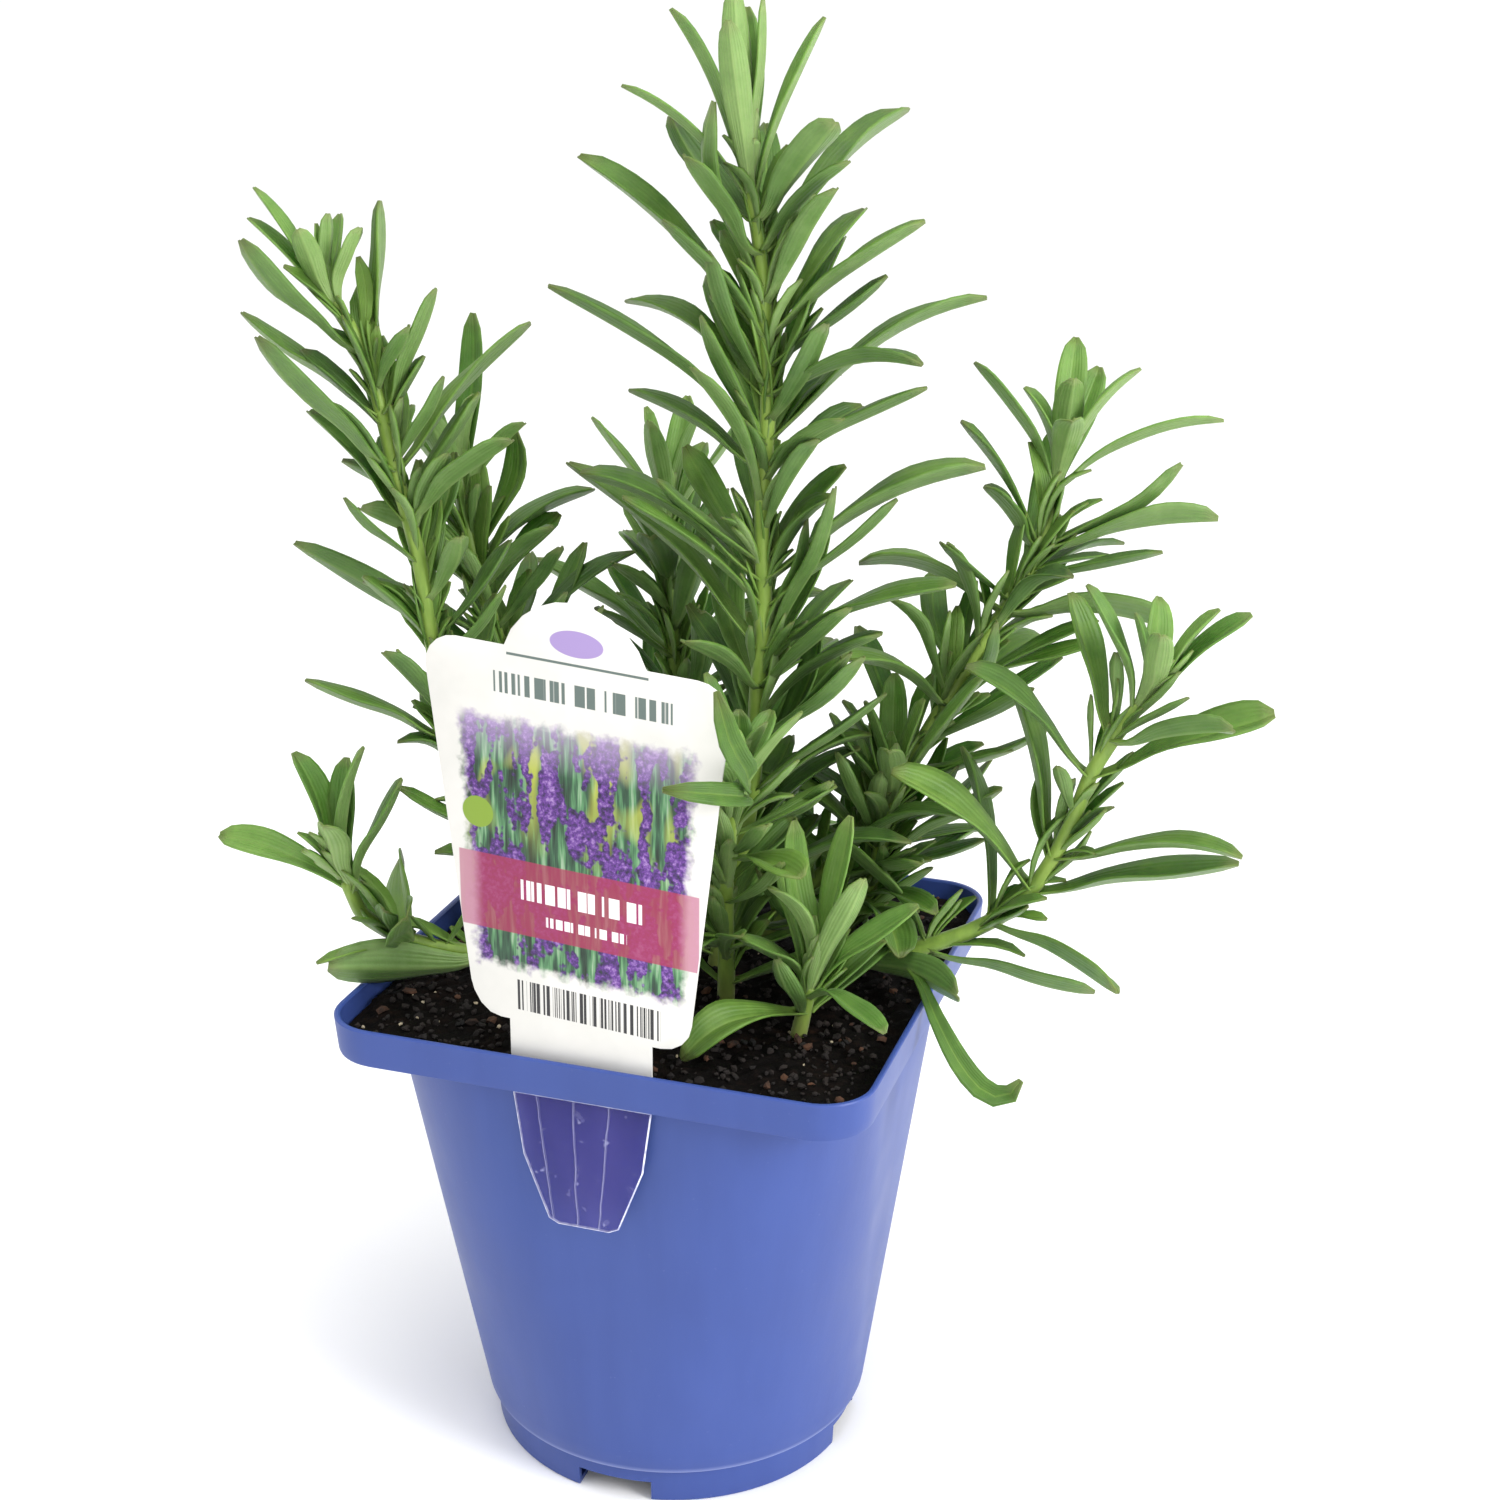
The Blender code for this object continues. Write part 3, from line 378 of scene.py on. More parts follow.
def inside(add, x, z, box, soft):
    """1 in a rectangle given in mm from the label's middle and from its board's foot."""
    left, right, low, high = (side * MM for side in box)
    return add("Math", between(add, x, left, right, soft * MM),
               between(add, z, low, high, soft * MM), operation="MULTIPLY")


def plain_polystyrene():
    """The unprinted back and edges of the sheet: off-white, satin, faintly rippled."""
    material, add, shader, place = new_material("plain_polystyrene")
    ripple = add("TexNoise", place, spaced(18.2), 2.0, 0.55)
    finish(shader, Roughness=0.42,
           Base_Color=add("ValToRGB", add("TexNoise", place, spaced(14.3), 3.0, 0.55),
                          stops=((0.3, "#d5d4cf"), (0.7, "#e4e3de"))),
           Normal=add("Bump", 0.2, 0.4 * MM, Height=ripple))
    return material


def flower_bed(add, place, z):
    """A made-up bed of lavender: upright clusters of small florets over blurred stalks and
    yellow lights, hazy towards the top."""
    stalks = add("Mapping", place, Rotation=(0, 0.08, 0), Scale=(1, 1, 0.10))
    leafy = add("ValToRGB", add("TexNoise", stalks, spaced(1.111), 2.0, 0.6), stops=(
        (0.32, "#0c2015"), (0.47, "#2b5238"), (0.58, "#568a5c"), (0.72, "#9cb497")))
    lights = add("TexNoise", add("Mapping", place, Scale=(1, 1, 0.45)), spaced(6.667), 1.0, 0.55)
    up_high = add("ValToRGB", mixture(add, (10.0, z)), stops=((0.30, 0.0), (0.50, 1.0)))
    sunny = add("Math", add("ValToRGB", lights, stops=((0.55, 0.0), (0.65, 1.0))), up_high,
                operation="MULTIPLY")
    leaning = add("Mapping", place, Rotation=(0, -0.06, 0), Scale=(1, 1, 0.28))
    spikes = add("TexNoise", leaning, spaced(3.0303), 2.0, 0.5)
    florets = add("TexVoronoi", place, spaced(1.22))
    spiky = add("ValToRGB", mixture(add, (1.0, spikes), (-0.12, florets)),
                stops=((0.42, 0.0), (0.46, 1.0)))
    petal_tone = add("TexNoise", place, spaced(0.909), 2.0, 0.7)
    petals = add("ValToRGB", mixture(add, (0.6, petal_tone), (0.4, spikes)), stops=(
        (0.40, "#150a28"), (0.48, "#391a5c"), (0.57, "#603189"), (0.70, "#a382bc")))
    hazy = add("ValToRGB", mixture(add, (16.0, z)), stops=((0.80, 0.0), (0.97, 0.55)))
    return coats(add, leafy, (sunny, "#a4ad44"), (spiky, petals), (hazy, "#cdbfd6"))


def printed_label():
    """Printed polystyrene sheet: off-white, satin, with a soft-edged flower-bed print, a plain
    rose band and rows of plain strokes. Nothing on it can be read."""
    material, add, shader, place = new_material("printed_polystyrene")
    x, _, z = add("SeparateXYZ", place).node.outputs
    x = add("Math", x, LABEL_CENTRE, operation="SUBTRACT")
    z = add("Math", z, POT_RIM + (BOARD_FOOT + LABEL_LIFT) * MM, operation="SUBTRACT")
    z = mixture(add, (1.0, z), (LABEL_LEAN, x))
    colour = add("ValToRGB", add("TexNoise", place, spaced(11.1), 3.0, 0.55),
                 stops=((0.3, "#d3d2cc"), (0.7, "#dddbd6")))
    fray = add("Math", add("TexNoise", place, spaced(2.38), 3.0, 0.55), 0.5, operation="SUBTRACT")
    # The board narrows downwards, and the picture with it
    narrow = add("Math", mixture(add, (1.8, z)), 0.81, operation="ADD")
    spread = add("Math", x, narrow, operation="DIVIDE")
    picture = inside(add, mixture(add, (1.0, spread), (0.005, fray)),
                     mixture(add, (1.0, z), (0.005, fray)), PICTURE, 1.3)
    garden = flower_bed(add, place, z)
    colour = coats(add, colour, (picture, garden))
    rose = inside(add, x, z, ROSE_BAND, 0.12)
    sides = add("Math", 1.0, inside(add, x, z, ROSE_MIDDLE, 1.4), operation="SUBTRACT")
    faded = mixture(add, (0.40, add("Math", rose, sides, operation="MULTIPLY")))
    colour = coats(add, colour,
                   (mixture(add, (0.93, rose)), coats(add, "#95204b", (0.10, garden))),
                   (faded, "#d9b3c2"), (inside(add, x, z, RULE, 0.05), PRINT_SLATE))
    for box, spacing, bare, ink in STROKE_ROWS:
        lines = add("TexNoise", x, spaced(spacing), 1.0, noise_dimensions="1D")
        lines = add("ValToRGB", lines, stops=((bare, 0.0), (bare + 0.02, 1.0)))
        row = add("Math", inside(add, x, z, box, 0.05), lines, operation="MULTIPLY")
        colour = coats(add, colour, (row, ink))
    for across, up, wide, tall, ink in SPOTS:
        squares = []
        for value, middle, half in ((x, across, wide), (z, up, tall)):
            off = add("Math", value, middle * MM, operation="SUBTRACT")
            off = add("Math", off, half * MM, operation="DIVIDE")
            squares.append((1.0, add("Math", off, off, operation="MULTIPLY")))
        spot = add("ValToRGB", mixture(add, *squares), stops=((0.92, 1.0), (1.0, 0.0)))
        colour = coats(add, colour, (spot, ink))
    ripple = add("TexNoise", place, spaced(16.7), 2.0, 0.55)
    finish(shader, Base_Color=colour, Roughness=0.34, IOR=1.5,
           Normal=add("Bump", 0.15, 0.4 * MM, Height=ripple))
    return material


def clear_tab():
    """Clear polystyrene tongue over the blue wall: a thin glossy sheet, coloured dark blue at half
    cover as painted shade on the wall behind it, with pale crease lines where it was folded to push
    it in."""
    material, add, shader, place = new_material("clear_polystyrene")
    x, _, z = add("SeparateXYZ", place).node.outputs
    x = add("Math", x, LABEL_CENTRE, operation="SUBTRACT")
    z = add("Math", z, LABEL_LOW.z, operation="SUBTRACT")
    wander = add("TexNoise", place, spaced(8.33), 2.0, 0.55)
    wander = add("Math", wander, 0.5, operation="SUBTRACT")
    creases = 0.0
    for foot, slope in CREASES:
        line = mixture(add, (1.0, x), (-slope, z), (1.2 * MM, wander))
        line = add("Math", line, foot * MM, operation="SUBTRACT")
        line = add("Math", line, operation="ABSOLUTE")
        mark = add("ValToRGB", mixture(add, (1 / MM, line)), stops=((0.02, 1.0), (0.16, 0.0)))
        creases = add("Math", creases, mark, operation="MAXIMUM")
    scratches = add("ValToRGB", add("TexNoise", place, spaced(2.63), 2.0, 0.55),
                    stops=((0.66, 0.0), (0.72, 1.0)))
    pale = add("Math", mixture(add, (0.6, creases)), mixture(add, (0.4, scratches)),
               operation="MAXIMUM")
    # Dark blue-purple laid over the wall at half cover: painted shade on the wall behind the clear
    # tab
    painted_shade_film = add("TexNoise", add("Mapping", place, Scale=(1, 1, 0.3)), spaced(9.09), 2.0, 0.55)
    painted_shade_film = add("ValToRGB", painted_shade_film, stops=((0.3, "#33307f"), (0.7, "#4a4593")))
    finish(shader, Base_Color=coats(add, painted_shade_film, (pale, "#c9cbe8")), Roughness=0.16, IOR=1.35,
           Alpha=add("Math", mixture(add, (0.4, pale)), 0.5, operation="ADD"),
           Normal=add("Bump", 0.5, 0.3 * MM, Height=creases))
    return material


def bright_cut_edge():
    """The cut edge of the clear sheet: frosted, and painted near white as a highlight where the
    light gathers.
    """
    material, add, shader, place = new_material("frosted_and_glinting_edge")
    grain = add("TexNoise", place, spaced(1.67), 3.0, 0.55)
    finish(shader, Roughness=0.35, Normal=add("Bump", 0.3, 0.2 * MM, Height=grain),
           # Near-white colour: painted highlight where light gathers in the cut edge, over real
           # frosting
           Base_Color=add("ValToRGB", grain, stops=((0.35, "#a9acd0"), (0.60, "#e4e6f4"))))
    return material


def studio_floor():
    """Smooth painted studio floor: near white, faintly uneven."""
    material, add, shader, place = new_material("white_floor")
    cloud = add("TexNoise", place, spaced(500), 2.0, 0.55)
    finish(shader, Roughness=0.8,
           Base_Color=add("ValToRGB", cloud, stops=((0.3, "#fbfbfb"), (0.7, "#fefefe"))))
    return material


# ---- Meshes ----


def deselect():
    if bpy.context.mode != "OBJECT":
        bpy.ops.object.mode_set(mode="OBJECT")
    bpy.ops.object.select_all(action="DESELECT")


def make_active(obj):
    deselect()
    obj.select_set(True)
    bpy.context.view_layer.objects.active = obj


def edit_all(obj):
    """Opens a piece in edit mode with all of it selected."""
    make_active(obj)
    bpy.ops.object.mode_set(mode="EDIT")
    bpy.ops.mesh.select_all(action="SELECT")


def apply_modifier(obj, kind, **settings):
    make_active(obj)
    modifier = obj.modifiers.new(kind.lower(), kind)
    for key, value in settings.items():
        setattr(modifier, key, value)
    bpy.ops.object.modifier_apply(modifier=modifier.name)


def mesh_object(name, points, faces, materials=()):
    mesh = bpy.data.meshes.new(name)
    mesh.from_pydata([tuple(map(float, p)) for p in points], [], [list(map(int, f)) for f in faces])
    for material in materials:
        mesh.materials.append(material)
    return linked(name, mesh)


def merged_copy(node, name):
    """A copy of a CAD node with its loose triangles joined."""
    obj = linked(name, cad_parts[node].data.copy())
    obj.data.materials.clear()
    edit_all(obj)
    bpy.ops.mesh.remove_doubles(threshold=0.004 * MM)
    deselect()
    return obj


def stand_for(piece, slot, *nodes):
    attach(piece, "root")
    if nodes:
        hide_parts(*nodes)


def smooth(obj, degrees):
    make_active(obj)
    bpy.ops.object.shade_smooth_by_angle(angle=math.radians(degrees))


# ---- Leaves: each CAD blade read back as a centre line with a width, and drawn again finely ----


def vertex_table(node):
    """A CAD node's points, and the neighbours of each."""
    copy = merged_copy(node, "reading")
    points = np.array([v.co[:] for v in copy.data.vertices])
    beside = [set() for _ in points]
    for edge in copy.data.edges:
        a, b = edge.vertices
        beside[a].add(b)
        beside[b].add(a)
    bpy.data.objects.remove(copy)
    return points, beside


def curl_of(grown):
    """How far a blade's end hooks up or down: mostly slight, now and then a clear curl."""
    if grown and draw.random() < 0.14:
        return draw.choice((-0.9, 0.9, 1.3))
    return draw.normal(0.12, 0.28)


def read_blades(node, rings_each):
    """The blades of a CAD leaf node: each one's point, foot, centre line, half-widths and lifts."""
    points, beside = vertex_table(node)
    blades = []
    for tip in range(len(points)):
        if len(beside[tip]) != 4:
            continue
        seen, front, rings = {tip}, set(beside[tip]), []
        for _ in range(rings_each):
            if len(front) != 4:
                break
            rings.append(sorted(front))
            seen |= front
            front = set().union(*(beside[v] for v in front)) - seen
        if len(rings) < rings_each or len(front) != 6:
            continue
        base = points[sorted(front)].mean(axis=0)
        centres, halves, lifts = [], [], []
        for ring in rings:
            spots = points[ring]
            gaps = [(np.linalg.norm(spots[i] - spots[j]), i, j)
                    for i in range(4) for j in range(i)]
            _, i, j = max(gaps)
            others = [k for k in range(4) if k not in (i, j)]
            middle = spots[others].mean(axis=0)
            half = (spots[i] - spots[j]) / 2
            if halves and np.dot(half, halves[-1]) < 0:
                half = -half
            centres.append(middle)
            halves.append(half)
            lifts.append((spots[i] + spots[j]) / 2 - middle)
        blades.append(dict(tip=points[tip], base=base, centres=centres[::-1],
                           halves=halves[::-1], lifts=lifts[::-1]))
    return blades


def curve_through(keys, values, at):
    """Smooth values at each place: a Catmull-Rom line through values known at keys."""
    keys, values = np.asarray(keys, float), np.asarray(values, float)
    slopes = np.gradient(values, keys, axis=0)
    out = []
    for t in at:
        k = int(np.clip(np.searchsorted(keys, t) - 1, 0, len(keys) - 2))
        h = keys[k + 1] - keys[k]
        s = (t - keys[k]) / h
        out.append((2 * s**3 - 3 * s**2 + 1) * values[k] + (s**3 - 2 * s**2 + s) * h * slopes[k]
                   + (3 * s**2 - 2 * s**3) * values[k + 1] + (s**3 - s**2) * h * slopes[k + 1])
    return np.array(out)


def master_blade(columns, rows):
    """The flat pattern that every leaf starts from: places across and along it, and faces."""
    deselect()
    bpy.ops.mesh.primitive_grid_add(x_subdivisions=columns, y_subdivisions=rows, size=1.0)
    grid = bpy.context.active_object
    across = np.array([v.co.x * 2 for v in grid.data.vertices])
    along = np.array([v.co.y + 0.5 for v in grid.data.vertices])
    faces = np.array([list(p.vertices) for p in grid.data.polygons])
    bpy.data.objects.remove(grid)
    return dict(across=across, along=along, faces=faces)


FINE = master_blade(6, 14)
PLAIN = master_blade(4, 10)
SMALL = master_blade(2, 6)


def bend_blade(pattern, line_keys, line, sides, lifts, half_width, outline, fold, twist, wave,
               curl=0.0):
    """Points of one blade: the flat pattern laid along its centre line."""
    along, across = pattern["along"], pattern["across"]
    places = np.unique(along)
    centre = curve_through(line_keys, line, places)
    tangent = np.gradient(centre, places, axis=0)
    tangent /= np.linalg.norm(tangent, axis=1, keepdims=True)
    side = curve_through(line_keys, sides, places)
    side -= tangent * (side * tangent).sum(axis=1, keepdims=True)
    side /= np.linalg.norm(side, axis=1, keepdims=True)
    normal = np.cross(tangent, side)
    up = curve_through(line_keys, lifts, places)
    flip = np.sign((normal * up).sum(axis=1).mean()) or 1.0
    normal = normal * flip
    length = np.linalg.norm(np.diff(centre, axis=0), axis=1).sum()
    hook = np.clip(places - HOOK_FROM, 0.0, None) ** 2 * curl * length
    centre = centre + normal * hook[:, None]
    turn = twist * places**1.5
    side, normal = (side * np.cos(turn)[:, None] + normal * np.sin(turn)[:, None],
                    normal * np.cos(turn)[:, None] - side * np.sin(turn)[:, None])
    width = half_width * np.interp(places, OUTLINE_PLACES, outline)
    row = np.searchsorted(places, along)
    u = across
    groove = fold * (np.abs(u) ** 1.25)
    ripple = wave * np.sin(along * 9.0 + 1.3) * u * np.sin(math.pi * along)
    lift = (groove + ripple) * width[row] - 0.16 * (1 - np.abs(u)) ** 6 * width[row]
    points = centre[row] + side[row] * (u * width[row])[:, None] + normal[row] * lift[:, None]
    faces = pattern["faces"]
    first = points[faces[0]]
    facing = np.cross(first[1] - first[0], first[2] - first[1])
    if np.dot(facing, normal[0]) < 0:
        faces = faces[:, ::-1]
    return points, faces


class LeafHeap:
    """Collects blades that share one finish, then makes them one piece."""

    def __init__(self, name):
        self.name, self.points, self.faces, self.uvs, self.tints = name, [], [], [], []
        self.count = 0

    def take(self, pattern, points, faces, tint):
        self.points.append(points)
        self.faces.append(faces + self.count)
        self.uvs.append(np.stack([pattern["across"] / 2 + 0.5, pattern["along"]], axis=1))
        self.tints.append(np.full(len(points), tint))
        self.count += len(points)

    def finish(self, upper, under, thickness):
        points = np.concatenate(self.points)
        faces = np.concatenate([f.reshape(-1, 4) for f in self.faces])
        obj = mesh_object(self.name, points, faces, (upper, under))
        mesh = obj.data
        uvs = np.concatenate(self.uvs)
        layer = mesh.uv_layers.new(name="blade")
        corners = np.empty(len(mesh.loops), np.int32)
        mesh.loops.foreach_get("vertex_index", corners)
        layer.data.foreach_set("uv", uvs[corners].astype(np.float32).ravel())
        tint = mesh.attributes.new("tint", "FLOAT", "POINT")
        tint.data.foreach_set("value", np.concatenate(self.tints).astype(np.float32))
        apply_modifier(obj, "SOLIDIFY", thickness=thickness, offset=-1.0, material_offset=1,
                       material_offset_rim=0, use_even_offset=False)
        mesh.shade_smooth()
        return obj


def direction(azimuth, rise):
    """A unit vector at an azimuth and a rise in degrees."""
    a, r = math.radians(azimuth), math.radians(rise)
    return np.array([math.cos(a) * math.cos(r), math.sin(a) * math.cos(r), math.sin(r)])


def grow_blade(heap, pattern, start, chord, half_width, arch, outline=OUTLINE_WIDTHS,
               fold=0.32, twist=0.0, tint=0.5):
    """A leaf with no CAD solid of its own, arched from a stem point along a chord."""
    length = np.linalg.norm(chord)
    along = chord / length
    side = np.cross(np.array([0, 0, 1.0]), along)
    side /= max(np.linalg.norm(side), 1e-6)
    up = np.cross(along, side)
    up = up if up[2] > 0 else -up
    bend = start + chord * 0.5 + (up * arch + side * draw.normal(0, 0.05)) * length * 2
    keys = np.linspace(0, 1, 6)
    line = [start * (1 - s) ** 2 + bend * 2 * s * (1 - s) + (start + chord) * s**2 for s in keys]
    points, faces = bend_blade(pattern, keys, line, [side] * 6, [up] * 6, half_width, outline,
                               fold, twist, 0.05, curl_of(half_width > 0.0022))
    heap.take(pattern, points, faces, tint)


def stem_line(node):
    """Centre points of a CAD stem, from its foot up."""
    points, beside = vertex_table(node)
    foot = int(np.argmin(points[:, 2]))
    start = np.argsort(np.linalg.norm(points - points[foot], axis=1))[:8]
    centre = points[start].mean(axis=0)
    start = set(np.argsort(np.linalg.norm(points - centre, axis=1))[:8].tolist())
    seen, front, line = set(), start, []
    while front:
        line.append(points[sorted(front)].mean(axis=0))
        seen |= front
        front = set().union(*(beside[v] for v in front)) - seen
    return np.array(line)


def walked(line):
    """How far each point of a line is from its start, along it."""
    return np.concatenate([[0.0], np.cumsum(np.linalg.norm(np.diff(line, axis=0), axis=1))])


def along_line(line, share):
    """Point and direction at a share of a line's length."""
    steps = np.linalg.norm(np.diff(line, axis=0), axis=1)
    far = walked(line)
    want = share * far[-1]
    k = int(np.clip(np.searchsorted(far, want) - 1, 0, len(line) - 2))
    point = line[k] + (line[k + 1] - line[k]) * (want - far[k]) / steps[k]
    heading = line[min(k + 2, len(line) - 1)] - line[max(k - 1, 0)]
    return point, heading / np.linalg.norm(heading)


SHOOTS = sorted(n[:-5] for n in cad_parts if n.endswith("_stem"))
LINES = {shoot: stem_line(shoot + "_stem") for shoot in SHOOTS}


def nearest_on(line, point):
    """The share of a line's length that comes nearest to a point."""
    return min((np.linalg.norm(along_line(line, s)[0] - point), s)
               for s in np.linspace(0, 1, 61))[1]


def redraw_leaves(upper, under, young_upper, young_under):
    for node in sorted(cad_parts):
        pair, bud = "_leaf_pair_" in node, node.endswith("_tip_leaves")
        if not (pair or bud):
            continue
        shoot = node.split("_leaf_pair_")[0] if pair else node[:-len("_tip_leaves")]
        line = LINES[shoot]
        blades = read_blades(node, PAIR_RINGS if pair else TIP_RINGS)
        heap = LeafHeap(node.replace("leaf_pair", "leaves").replace("tip_leaves", "tip"))
        hub = along_line(line, nearest_on(line, np.mean([b["base"] for b in blades], axis=0)))
        spoon = draw.random() < 0.25
        for blade in blades:
            inward = hub[0] - blade["base"]
            start = blade["base"] + inward * (PAIR_REACH if pair else TIP_REACH)
            if bud:
                start = start - hub[1] * TIP_DROP * MM
            line_points = [start, *blade["centres"], blade["tip"]]
            sides = [blade["halves"][0], *blade["halves"], blade["halves"][-1]]
            lifts = [blade["lifts"][0], *blade["lifts"], blade["lifts"][-1]]
            keys = walked(line_points) / walked(line_points)[-1]
            half = max(np.linalg.norm(h) for h in blade["halves"])
            sides = [s / np.linalg.norm(s) for s in sides]
            points, faces = bend_blade(
                FINE, keys, line_points, sides, lifts,
                half * (PAIR_WIDTH if pair else TIP_WIDTH),
                SPOON_WIDTHS if spoon and pair else OUTLINE_WIDTHS,
                fold=0.30 + 0.22 * draw.random(), twist=draw.normal(0, 0.22),
                wave=0.05 + 0.05 * draw.random(), curl=curl_of(pair))
            tint = draw.random() * 0.6 + (0.15 if pair else 0.35)
            heap.take(FINE, points, faces, tint)
        if pair:
            add_axil_leaves(heap, hub, blades, shoot)
        else:
            add_bud_leaves(heap, line)
        piece = heap.finish(young_upper if bud else upper, young_under if bud else under,
                            (PAIR_THICKNESS if pair else TIP_THICKNESS) * MM)
        stand_for(piece, "tip_leaf" if bud else "leaf", node)


def add_axil_leaves(heap, hub, blades, shoot):
    """Small leaves in the axils, between each big leaf and the stem."""
    point, axis = hub
    for blade in blades:
        reach = blade["tip"] - blade["base"]
        flat = reach / np.linalg.norm(reach)
        for _ in range(int(draw.integers(*AXIL_COUNT))):
            mixed = flat * draw.uniform(0.25, 0.7) + axis * draw.uniform(0.8, 1.1)
            mixed += draw.normal(0, 0.28, 3)
            mixed /= np.linalg.norm(mixed)
            size = draw.uniform(*AXIL_LENGTHS) * MM
            start = point + flat * 0.0007 + axis * draw.uniform(0, 0.002)
            if fits(start, start + mixed * size) and not faces_open_side(shoot, mixed):
                half = size * draw.uniform(0.07, 0.10) + 0.3 * MM
                grow_blade(heap, SMALL, start, mixed * size, half, draw.uniform(0.02, 0.10),
                           fold=0.4, twist=draw.normal(0, 0.3), tint=draw.uniform(0.4, 1.0))


def add_bud_leaves(heap, line):
    """Tiny leaves closed over the growing point."""
    point, axis = along_line(line, 1.0)
    for k in range(BUD_COUNT):
        turn = k * BUD_TURN
        around = np.array([math.cos(turn), math.sin(turn), 0.0])
        around -= axis * np.dot(around, axis)
        lean = axis + around * (0.22 + 0.05 * (k % 3))
        size = (BUD_LENGTH - BUD_STEP * k) * MM
        grow_blade(heap, SMALL, point + axis * 0.002 + around * 0.0006,
                   lean / np.linalg.norm(lean) * size, 0.0014, 0.04, fold=0.5, tint=0.95)


def faces_open_side(shoot, reach):
    """True when a leaf would hide the stem of a shoot that shows it."""
    if shoot not in OPEN_SHOOTS:
        return False
    azimuth = math.degrees(math.atan2(reach[1], reach[0]))
    return abs((azimuth - OPEN_SIDE + 180) % 360 - 180) < OPEN_SPREAD


def fits(start, end):
    """True when a leaf between two points stays off the label, the soil and the pot's rim, and
    within the plant's own spread."""
    low, high = (np.array(corner) for corner in cad_box)
    if np.any(end < low - PAST_BOX * MM) or np.any(end > high + PAST_BOX * MM):
        return False
    edge = LABEL_EDGE_GAP * MM
    for s in np.linspace(0.1, 1.05, 8):
        spot = start + (end - start) * s
        beside = LABEL_LOW.x - edge < spot[0] < LABEL_HIGH.x + edge
        if abs(spot[1] - LABEL_MIDDLE) < LABEL_FACE_GAP * MM and beside and \
                spot[2] < LABEL_HIGH.z + edge:
            return False
        outside = max(abs(spot[0]), abs(spot[1])) > POT_HALF - RIM_INSET * MM
        if spot[2] < (POT_RIM + RIM_GAP * MM if outside else SOIL_TOP + SOIL_GAP * MM):
            return False
    return (start[1] - LABEL_MIDDLE) * (end[1] - LABEL_MIDDLE) > 0 or end[2] > LABEL_HIGH.z


def lone_leaves(upper, under):
    heap = LeafHeap("reaching_leaves")
    for half, stops in LONE_BLADES:
        line = np.array(stops) * MM
        keys = walked(line) / walked(line)[-1]
        heading = np.gradient(line, keys, axis=0)
        sides = np.cross(heading, np.array([0.35, -0.75, 0.55]))
        sides /= np.linalg.norm(sides, axis=1, keepdims=True)
        lifts = np.cross(sides, heading)
        points, faces = bend_blade(FINE, keys, line, sides, lifts, half * MM, SPOON_WIDTHS, 0.3,
                                   0.1, 0.06)
        heap.take(FINE, points, faces, 0.4)
    stand_for(heap.finish(upper, under, FILL_THICKNESS * MM), "leaf")


def fill_leaves(upper, under):
    for shoot, (first, last, spacing, lengths, rises, half) in FILL.items():
        heap = LeafHeap(shoot + "_inner_leaves")
        line = LINES[shoot]
        count = int((last - first) * walked(line)[-1] / MM / spacing)
        for k in range(count):
            share = first + (last - first) * (k + 0.5 * draw.random()) / count
            point, axis = along_line(line, share)
            turn = 90 * (k % 2) + 37 + draw.normal(0, 16)
            blades = []
            for side in (0, 180):
                for _ in range(6):
                    azimuth = turn + side + draw.normal(0, 10)
                    rise = draw.uniform(*rises) * min(1.0, LOW_RISE + share * LOW_SPREAD)
                    length = draw.uniform(*lengths) * (1.08 - 0.3 * share) * MM
                    lean = direction(azimuth, rise) + (axis - np.array([0, 0, 1.0])) * 0.5
                    end = point + lean / np.linalg.norm(lean) * length
                    if fits(point, end) and not faces_open_side(shoot, end - point):
                        break
                    turn += 23
                else:
                    continue
                start = point + direction(azimuth, 0) * 0.0008
                grow_blade(heap, PLAIN, start, end - start, half * draw.uniform(0.8, 1.1) * MM,
                           draw.uniform(-0.05, 0.10), fold=0.3 + 0.3 * draw.random(),
                           twist=draw.normal(0, 0.25), tint=draw.uniform(0.0, 0.6),
                           outline=SPOON_WIDTHS if draw.random() < 0.3 else OUTLINE_WIDTHS)
                blades.append(dict(tip=end, base=point))
            add_axil_leaves(heap, (point, axis), blades, shoot)
        if heap.count:
            stand_for(heap.finish(upper, under, FILL_THICKNESS * MM), "leaf")


# ---- Stems ----


def redraw_stems(skin):
    for shoot in SHOOTS:
        piece = merged_copy(shoot + "_stem", shoot + "_shoot")
        piece.data.materials.append(skin)
        apply_modifier(piece, "SUBSURF", levels=1, render_levels=1, subdivision_type="SIMPLE")
        apply_modifier(piece, "SUBSURF", levels=1, render_levels=1)
        apply_modifier(piece, "DISPLACE", strength=STEM_SWELL * MM, mid_level=0.0)
        piece.data.shade_smooth()
        stand_for(piece, "stem", shoot + "_stem")


# ---- Soil ----


def ground_noise(x, y):
    """The soil's unevenness at a place: waves from 20 mm down to 2.5 mm long, 1 mm high."""
    waves = (np.sin(x * 310 + 1.1) * np.cos(y * 270 - 0.4) + 0.6 * np.sin(x * 720 + y * 510)
             + 0.45 * np.cos(x * 1310 - y * 1190 + 0.8) + 0.3 * np.sin(x * 2300 + 2.0)
             * np.cos(y * 2500))
    return waves * 0.0005


